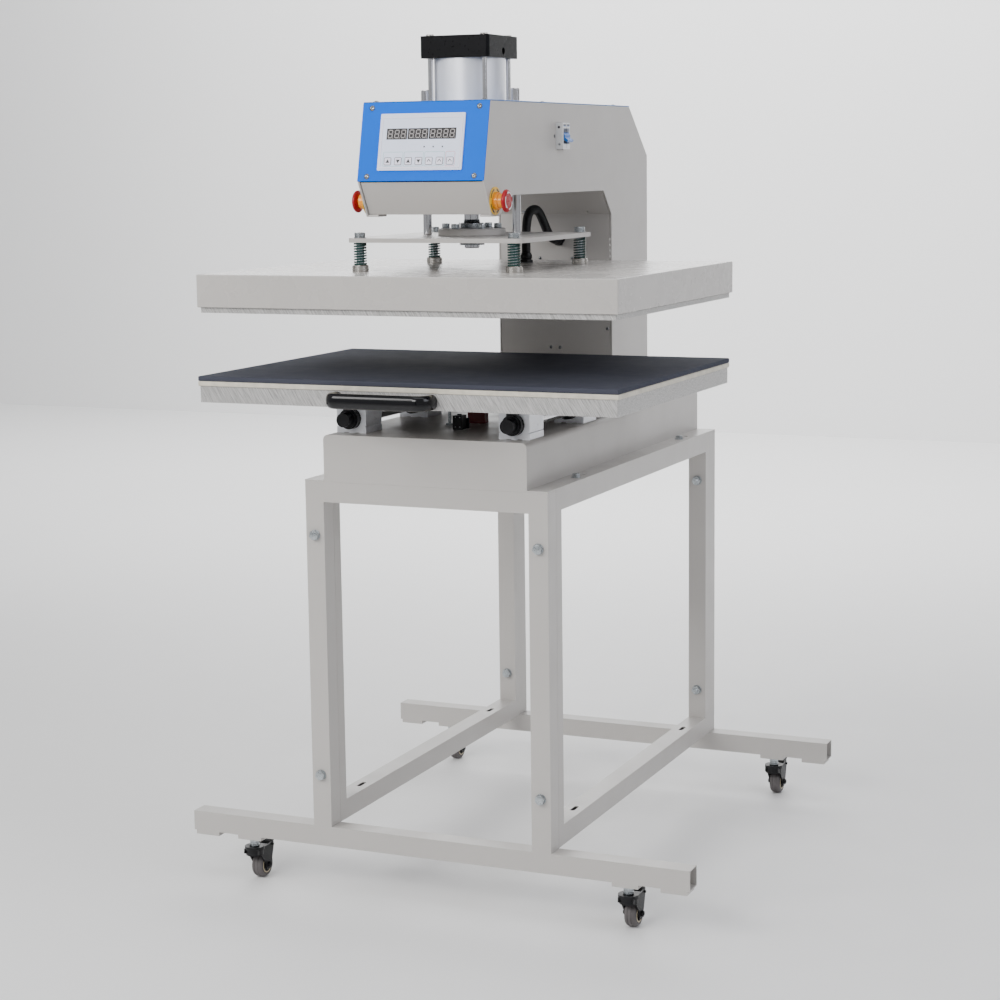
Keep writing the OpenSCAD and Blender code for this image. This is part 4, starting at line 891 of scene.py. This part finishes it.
nut_at = at0 @ move(0, 0, T)
seat = [(0.0143, 0), (0.0215, 0), (0.0218, 0.0004), (0.0218, 0.0012), (0.0143, 0.0012)]
add(coupling, lathe(seat, 64), 3, nut_at)
add(coupling, hex_head(0.044, nut_h - 0.0012, 0.12), 3, nut_at @ move(0, 0, 0.0012))
rows, z = [(0.0142, nut_h - 0.001)], nut_h - 0.001
while z < nut_h + 0.006:
    rows += [(0.0158, z), (0.0146, z + 0.0009)]
    z += 0.0018
rows += [(0.0142, z)]
add(coupling, lathe(rows, 48), 3, nut_at)
low_nut = min(cpl, key=lambda s: s[1].z)
add(coupling, hex_head(0.044, low_nut[1].z - low_nut[0].z, 0.12), 3,
    move(pc.x, pc.y, low_nut[0].z))
put("rod_flange", coupling, [powder, zinc, painted_recess_shade, turned_dark], "piston_coupling")
rods = bmesh.new()
rlo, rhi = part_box("piston_rod")
add(rods, rod(0.014, rhi.z - rlo.z - 0.02, 0.0015, 64), 0, move(pc.x, pc.y, rlo.z))
pr = (rhi.x - rlo.x) / 2
add(rods, lathe([(0, 0), (pr - 0.001, 0), (pr, 0.001), (pr, 0.008), (pr - 0.003, 0.0085), (pr - 0.003, 0.0115),
                 (pr, 0.012), (pr, 0.019), (pr - 0.001, 0.02), (0, 0.02)], 72), 0,
    move(pc.x, pc.y, rhi.z - 0.0205))
put("piston_rod_bar", rods, chrome, "piston_rod")
round_bars("guide_rod_bars", "guide_rods", chrome, (0, 0, 1), 0.0012, 48)


# ---------------------------------------------------------------- glands
def gland(bm, at, r, length, bore, nut_h=0.006):
    """A cable gland: its nut, its ribbed body and its rounded mouth, out along Z."""
    neck = [(bore, 0.001), (r - 0.002, 0.001), (r - 0.002, nut_h + 0.0012), (r - 0.0008, nut_h + 0.0022),
            (r - 0.0008, length * 0.72), (r - 0.0026, length * 0.94), (bore + 0.0014, length),
            (bore, length - 0.0006)]
    add(bm, hex_head(2 * r, nut_h, 0.14), 0, at)
    add(bm, lathe(neck, 48), 0, at)
    for k in range(20):
        rib = brick((r - 0.0013, -0.0006, nut_h + 0.003), (r - 0.0005, 0.0006, length * 0.70), 0.0002, 1)
        add(bm, rib, 0, at @ spin(TURN * k / 20))


g = bmesh.new()
lo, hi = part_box("platen_gland")
c = mid((lo, hi))
gland(g, move(c.x, c.y, lo.z), 0.012, hi.z - lo.z, 0.0070)
put("platen_cable_gland", g, matte_black, "platen_gland")
g = bmesh.new()
for lo, hi in solids("cable_glands"):
    c = mid((lo, hi))
    if c.y < 0.3:
        gland(g, facing((c.x, hi.y, c.z), (0, -1, 0)), 0.012, hi.y - lo.y, 0.0070)
    else:
        gland(g, facing((c.x, lo.y, c.z), (0, 1, 0)), 0.012, hi.y - lo.y, 0.0050)
put("wall_cable_glands", g, matte_black, "cable_glands")

# ---------------------------------------------------------------- head and column
for n, r in (("left_side_plate", 0.0012), ("right_side_plate", 0.0012), ("column_front_cover", 0.0010),
             ("column_rear_cover", 0.0010), ("nose_lower_cover", 0.0008)):
    put(n + "_sheet", rounded(n, r, 2, 0.012), powder, n)
put("head_lid", rounded("head_top_cover", 0.0008, 2, 0.012), blue_dark, "head_top_cover")
put("blue_panel", rounded("nose_panel", 0.0007, 2, 0.012), blue, "nose_panel")
put("bearing_plate_slab", rounded("bearing_plate", 0.0010, 2, 0.012), cast, "bearing_plate")


def head_radius(faces, tip, n):
    """How far a screw head's rim stands from its axis."""
    return max((c - tip - n * (c - tip).dot(n)).length for _, c, _ in faces)


def outward(end):
    """How surely this end of a screw (area, area x centre, normal) is its head, outside the covers."""
    area, moment, n = end
    at = moment / area
    if abs(n.z) > 0.5:
        return n.dot(at - Vector((0, 0.05 if abs(n.z) > 0.9 else at.y, 1.2)))
    return -n.y if at.y < 0.25 else n.y


screws = bmesh.new()
for faces in islands("cover_screws"):
    caps = {}
    for n, cc, a in faces:
        key = tuple(round(v, 2) for v in n)
        area, acc, nn = caps.get(key, (0, Vector(), n))
        caps[key] = (area + a, acc + cc * a, nn)
    two = sorted(caps.values(), key=lambda v: -v[0])[:2]
    best = max(two, key=outward)
    tip = best[1] / best[0]
    n = best[2]
    add_at = facing(tip - n * 0.0022, n, rng.uniform(0, 1.5))
    pan_head(screws, add_at, head_radius(faces, tip, n), 0.0022)
put("pan_head_screws", screws, [turned_dark, painted_recess_shade], "cover_screws")

# ---------------------------------------------------------------- control module
lens = flat_face("control_module", (0, -1, 0.2))
mlo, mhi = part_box("control_module")
tilt = math.asin(lens[0].z)
mod = rounded("control_module", 0.0008, 2, 0.012)


def label(bm, x, z, w, h, mat, thick=0.0003, r=0.0006, lift=0.0, sink=0.0001):
    add(bm, prism(round_rect(w, h, min(r, w * 0.45, h * 0.45), 4), thick, 0), mat,
        on_face(lens, x, z, lift - sink))


def ring_label(bm, x, z, w, h, line_w, mat, r=0.002, thick=0.00025):
    outer, inner = round_rect(w, h, r, 5), round_rect(w - 2 * line_w, h - 2 * line_w, max(r - line_w, 0.0002), 5)
    part = bmesh.new()
    lo_o = [part.verts.new((a, b, 0)) for a, b in outer]
    lo_i = [part.verts.new((a, b, 0)) for a, b in inner]
    hi_o = [part.verts.new((a, b, thick)) for a, b in outer]
    hi_i = [part.verts.new((a, b, thick)) for a, b in inner]
    n = len(outer)
    for k in range(n):
        j = (k + 1) % n
        part.faces.new((hi_o[k], hi_o[j], hi_i[j], hi_i[k]))
        part.faces.new((lo_o[j], lo_o[k], lo_i[k], lo_i[j]))
        part.faces.new((lo_o[k], lo_o[j], hi_o[j], hi_o[k]))
        part.faces.new((hi_i[k], hi_i[j], lo_i[j], lo_i[k]))
    bmesh.ops.recalc_face_normals(part, faces=part.faces[:])
    add(bm, part, mat, on_face(lens, x, z, -0.00005))


DISPLAY_Z, LAMP_Z, KEY_Z, FRAME_Z = 1.4160, 1.3930, 1.3682, 1.3718
W, H = mhi.x - mlo.x, (mhi.z - mlo.z) / math.cos(tilt)
mx, mz = (mlo.x + mhi.x) / 2, (mlo.z + mhi.z) / 2
ring_label(mod, mx, mz - 0.0008, W - 0.007, H - 0.0105, 0.0022, 1, 0.003, 0.0007)
for x0, x1, digits in ((-0.0708, -0.0294, 3), (-0.0291, 0.0120, 3), (0.0122, 0.0659, 4)):
    xc, w = (x0 + x1) / 2, x1 - x0 - 0.0012
    label(mod, xc, DISPLAY_Z, w, 0.0196, 2, 0.0005, 0.0007)
    pitch = (w - 0.002) / digits
    for d in range(digits):
        cx = xc + (d - (digits - 1) / 2) * pitch
        sh, sw, st = 0.0066, 0.0068, 0.00145
        bars = [(0, sh, sw, st), (0, 0, sw, st), (0, -sh, sw, st)]
        bars += [(sx * (sw / 2 + 0.0004), sy * sh / 2, st, sh - 0.0012) for sx in (-1, 1) for sy in (-1, 1)]
        for bx, bz, bw, bh in bars:
            label(mod, cx + bx + bz * 0.1, DISPLAY_Z + bz, bw, bh, 3, 0.0002, 0.0004, 0.0004)
        label(mod, cx + 0.0052, DISPLAY_Z - sh - 0.0006, 0.0015, 0.0015, 3, 0.0002, 0.0006, 0.0004)
for x in (0.0052, 0.0229, 0.0406):
    dot = lathe([(0, 0), (0.0014, 0), (0.0014, 0.0003), (0.0009, 0.0008), (0, 0.0010)], 20)
    add(mod, dot, 4, on_face(lens, x, LAMP_Z, -0.0001))
KEYS = (-0.0645, -0.0442, -0.0238, -0.0037, 0.0165, 0.0370, 0.0574)
SIGNS = ("up", "down", "up", "down", "over", "over", "over")


def arrow(bm, x, z, kind):
    s = 1 if kind in ("up", "over") else -1
    if kind in ("up", "down"):
        pts = [(-0.0040, -0.0028 * s), (0.0040, -0.0028 * s), (0, 0.0038 * s)]
    else:
        pts = [(-0.0032, -0.0020 * s), (0, 0.0020 * s), (0.0032, -0.0020 * s), (0.0036, -0.0006 * s),
               (0, 0.0038 * s), (-0.0036, -0.0006 * s)]
    if s < 0:
        pts = pts[::-1]
    add(bm, prism(pts, 0.0002), 4, on_face(lens, x, z, 0.0004))


for x, kind in zip(KEYS, SIGNS):
    label(mod, x, KEY_Z, 0.0128, 0.0130, 1, 0.0005, 0.0016)
    ring_label(mod, x, KEY_Z, 0.0138, 0.0138, 0.0008, 5, 0.0019, 0.0006)
    arrow(mod, x, KEY_Z, kind)
for a, b, mat in ((0, 1, 6), (2, 3, 6), (4, 5, 6), (6, 6, 7)):
    xa, xb = KEYS[a] - 0.0092, KEYS[b] + 0.0092
    ring_label(mod, (xa + xb) / 2, FRAME_Z, xb - xa, 0.0262, 0.0005, mat, 0.0022)
put("keypad_module", mod, [film, film_edge, display, segment, ink, ink_grey, ink_green, ink_red],
    "control_module")

# ---------------------------------------------------------------- emergency stops
STOP_WALL = 0.124


def stop_root(side, s):
    """On the head's side wall, on the emergency stop's axis, facing out."""
    c = mid(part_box(side + "_estop_cap"))
    return facing((s * STOP_WALL, c.y, c.z), (s, 0, 0))


def arc(r, start, angle, n, back=False):
    """Points round an arc, from its far end if back."""
    steps = range(n, -1, -1) if back else range(n + 1)
    return [(r * math.cos(start + angle * i / n), r * math.sin(start + angle * i / n)) for i in steps]


for side, s in (("left", -1), ("right", 1)):
    root = stop_root(side, s)
    cap = lathe([(0.0092, 0.0174), (0.0140, 0.0174), (0.0196, 0.0206), (0.0200, 0.0214), (0.0200, 0.0236),
                 (0.0196, 0.0246), (0.0180, 0.0262), (0.0150, 0.0269), (0.0130, 0.0266), (0.0120, 0.0262),
                 (0.0080, 0.0266), (0, 0.0269), (0, 0.0245), (0.0092, 0.0240)], 64)
    for k in range(24):
        rib = brick((0.0196, -0.0008, 0.0214), (0.0201, 0.0008, 0.0238), 0.0002, 1)
        add(cap, rib, 0, spin(TURN * k / 24))
    for k in range(3):
        a0 = TURN * k / 3
        mark = arc(0.0158, a0, 1.2, 10)
        barbs = ((0.0172, 1.2), (0.0147, 1.55), (0.0124, 1.2))
        mark += [(r * math.cos(a0 + a), r * math.sin(a0 + a)) for r, a in barbs]
        mark += arc(0.0136, a0, 1.2, 10, back=True)
        add(cap, prism(mark, 0.0004), 1, move(0, 0, 0.02675))
    cap.transform(root)
    put(side + "_mushroom_cap", cap, [red, white], side + "_estop_cap")
    neck = lathe([(0, -0.014), (0.0088, -0.014), (0.0088, 0.0094), (0.0130, 0.0094), (0.0130, 0.0100),
                  (0.0130, 0.0110), (0.0130, 0.0164), (0.0128, 0.0168), (0.0088, 0.0170),
                  (0.0088, 0.0228), (0, 0.0228)], 48)
    neck.transform(root)
    for f in neck.faces:
        f.material_index = 1 if abs((f.calc_center_median().x)) < STOP_WALL + 0.0169 else 0
    put(side + "_stop_neck", neck, [red, yellow], side + "_estop_plunger")
base = bmesh.new()
for side, s in (("left", -1), ("right", 1)):
    root = stop_root(side, s)
    add(base, lathe([(0.0132, 0.0002), (0.0246, 0.0002), (0.0250, 0.0006), (0.0250, 0.0013), (0.0247, 0.0015),
                     (0.0132, 0.0015)], 72), 0, root)
    for k in range(4):
        a0 = math.pi / 2 * k + 0.25
        mark = arc(0.0222, a0, 1.05, 9) + arc(0.0190, a0, 1.05, 9, back=True)
        add(base, prism(mark, 0.0002), 2, root @ move(0, 0, 0.0014))
    add(base, lathe([(0.01306, 0.0014), (0.0150, 0.0014), (0.0152, 0.0020), (0.0152, 0.0090), (0.0146, 0.0099),
                     (0.01306, 0.0100)], 64), 1, root)
    for k in range(30):
        rib = brick((0.0149, -0.0005, 0.0024), (0.0155, 0.0005, 0.0094), 0.0001, 1)
        add(base, rib, 1, root @ spin(TURN * k / 30))
    add(base, lathe([(0.0091, -0.0105), (0.0138, -0.0105), (0.0140, -0.0042), (0.0104, -0.0042), (0.0104, 0.0014),
                     (0.0091, 0.0014)], 48), 3, root)
    add(base, brick((-0.013, -0.011, -0.0375), (0.013, 0.011, -0.0100), 0.0012), 3, root)
put("stop_button_bases", base, [legend, yellow, ink_grey, matte_black], "estop_bases")

# ---------------------------------------------------------------- breaker
case = rounded("breaker_body", 0.0010, 2, 0.006)
klo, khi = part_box("breaker_body")
kz, ky = (klo.z + khi.z) / 2, (klo.y + khi.y) / 2
for dy in (-0.0088, 0.0088):
    add(case, prism(round_rect(0.0022, 0.0125, 0.0004), 0.0003), 2,
        facing((khi.x - 0.0001, ky + dy, kz + 0.0205), (1, 0, 0)))
for dy, dz, w, h in ((-0.0088, 0.0185, 0.010, 0.0012), (0.0088, 0.0185, 0.010, 0.0012),
                     (0.0, 0.0, 0.0005, 0.046)):
    strip = brick((khi.x - 0.0003, ky + dy - w / 2, kz + dz - h / 2),
                  (khi.x + 0.00012, ky + dy + w / 2, kz + dz + h / 2), 0.00005, 1)
    add(case, strip, 2 if w < 0.001 else 1)
# The breaker screw's cross slot takes ink_grey as painted shade.
pan_head(case, facing((khi.x - 0.0070, klo.y + 0.0001, kz - 0.0150), (0, -1, 0)), 0.0026, 0.0008, 3, 2)
add(case, prism(round_rect(0.0050, 0.0050, 0.0024), 0.0003), 2,
    facing((khi.x - 0.0080, klo.y + 0.0001, kz + 0.0165), (0, -1, 0)))
put("breaker_case", case, [white, toggle_blue, ink_grey, zinc], "breaker_body")
put("breaker_lever", rounded("breaker_toggle", 0.0008, 2, 0.006), toggle_blue, "breaker_toggle")

# ---------------------------------------------------------------- cylinder
caps = rounded("cylinder_caps", 0.0014, 3, 0.02)
tlo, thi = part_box("cylinder_caps")
tc = mid((tlo, thi))
for sx in (-1, 1):
    for sy in (-1, 1):
        at = move(tc.x + sx * 0.054, tc.y + sy * 0.054, thi.z)
        socket_screw(caps, at, 0.0072, 0.0030, 1, 2, 26)
put("cylinder_end_caps", caps, [anodised, turned, painted_recess_shade], "cylinder_caps")
blo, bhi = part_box("cylinder_barrel")
bc, br = mid((blo, bhi)), (bhi.x - blo.x) / 2
barrel = lathe([(br - 0.003, blo.z), (br - 0.0004, blo.z), (br, blo.z + 0.0004), (br, bhi.z - 0.0004),
                (br - 0.0004, bhi.z), (br - 0.003, bhi.z)], 128)
barrel.transform(move(bc.x, bc.y, 0))
put("cylinder_tube", barrel, satin, "cylinder_barrel")
round_bars("tie_rod_bars", "tie_rods", chrome, (0, 0, 1), 0.0008, 32)
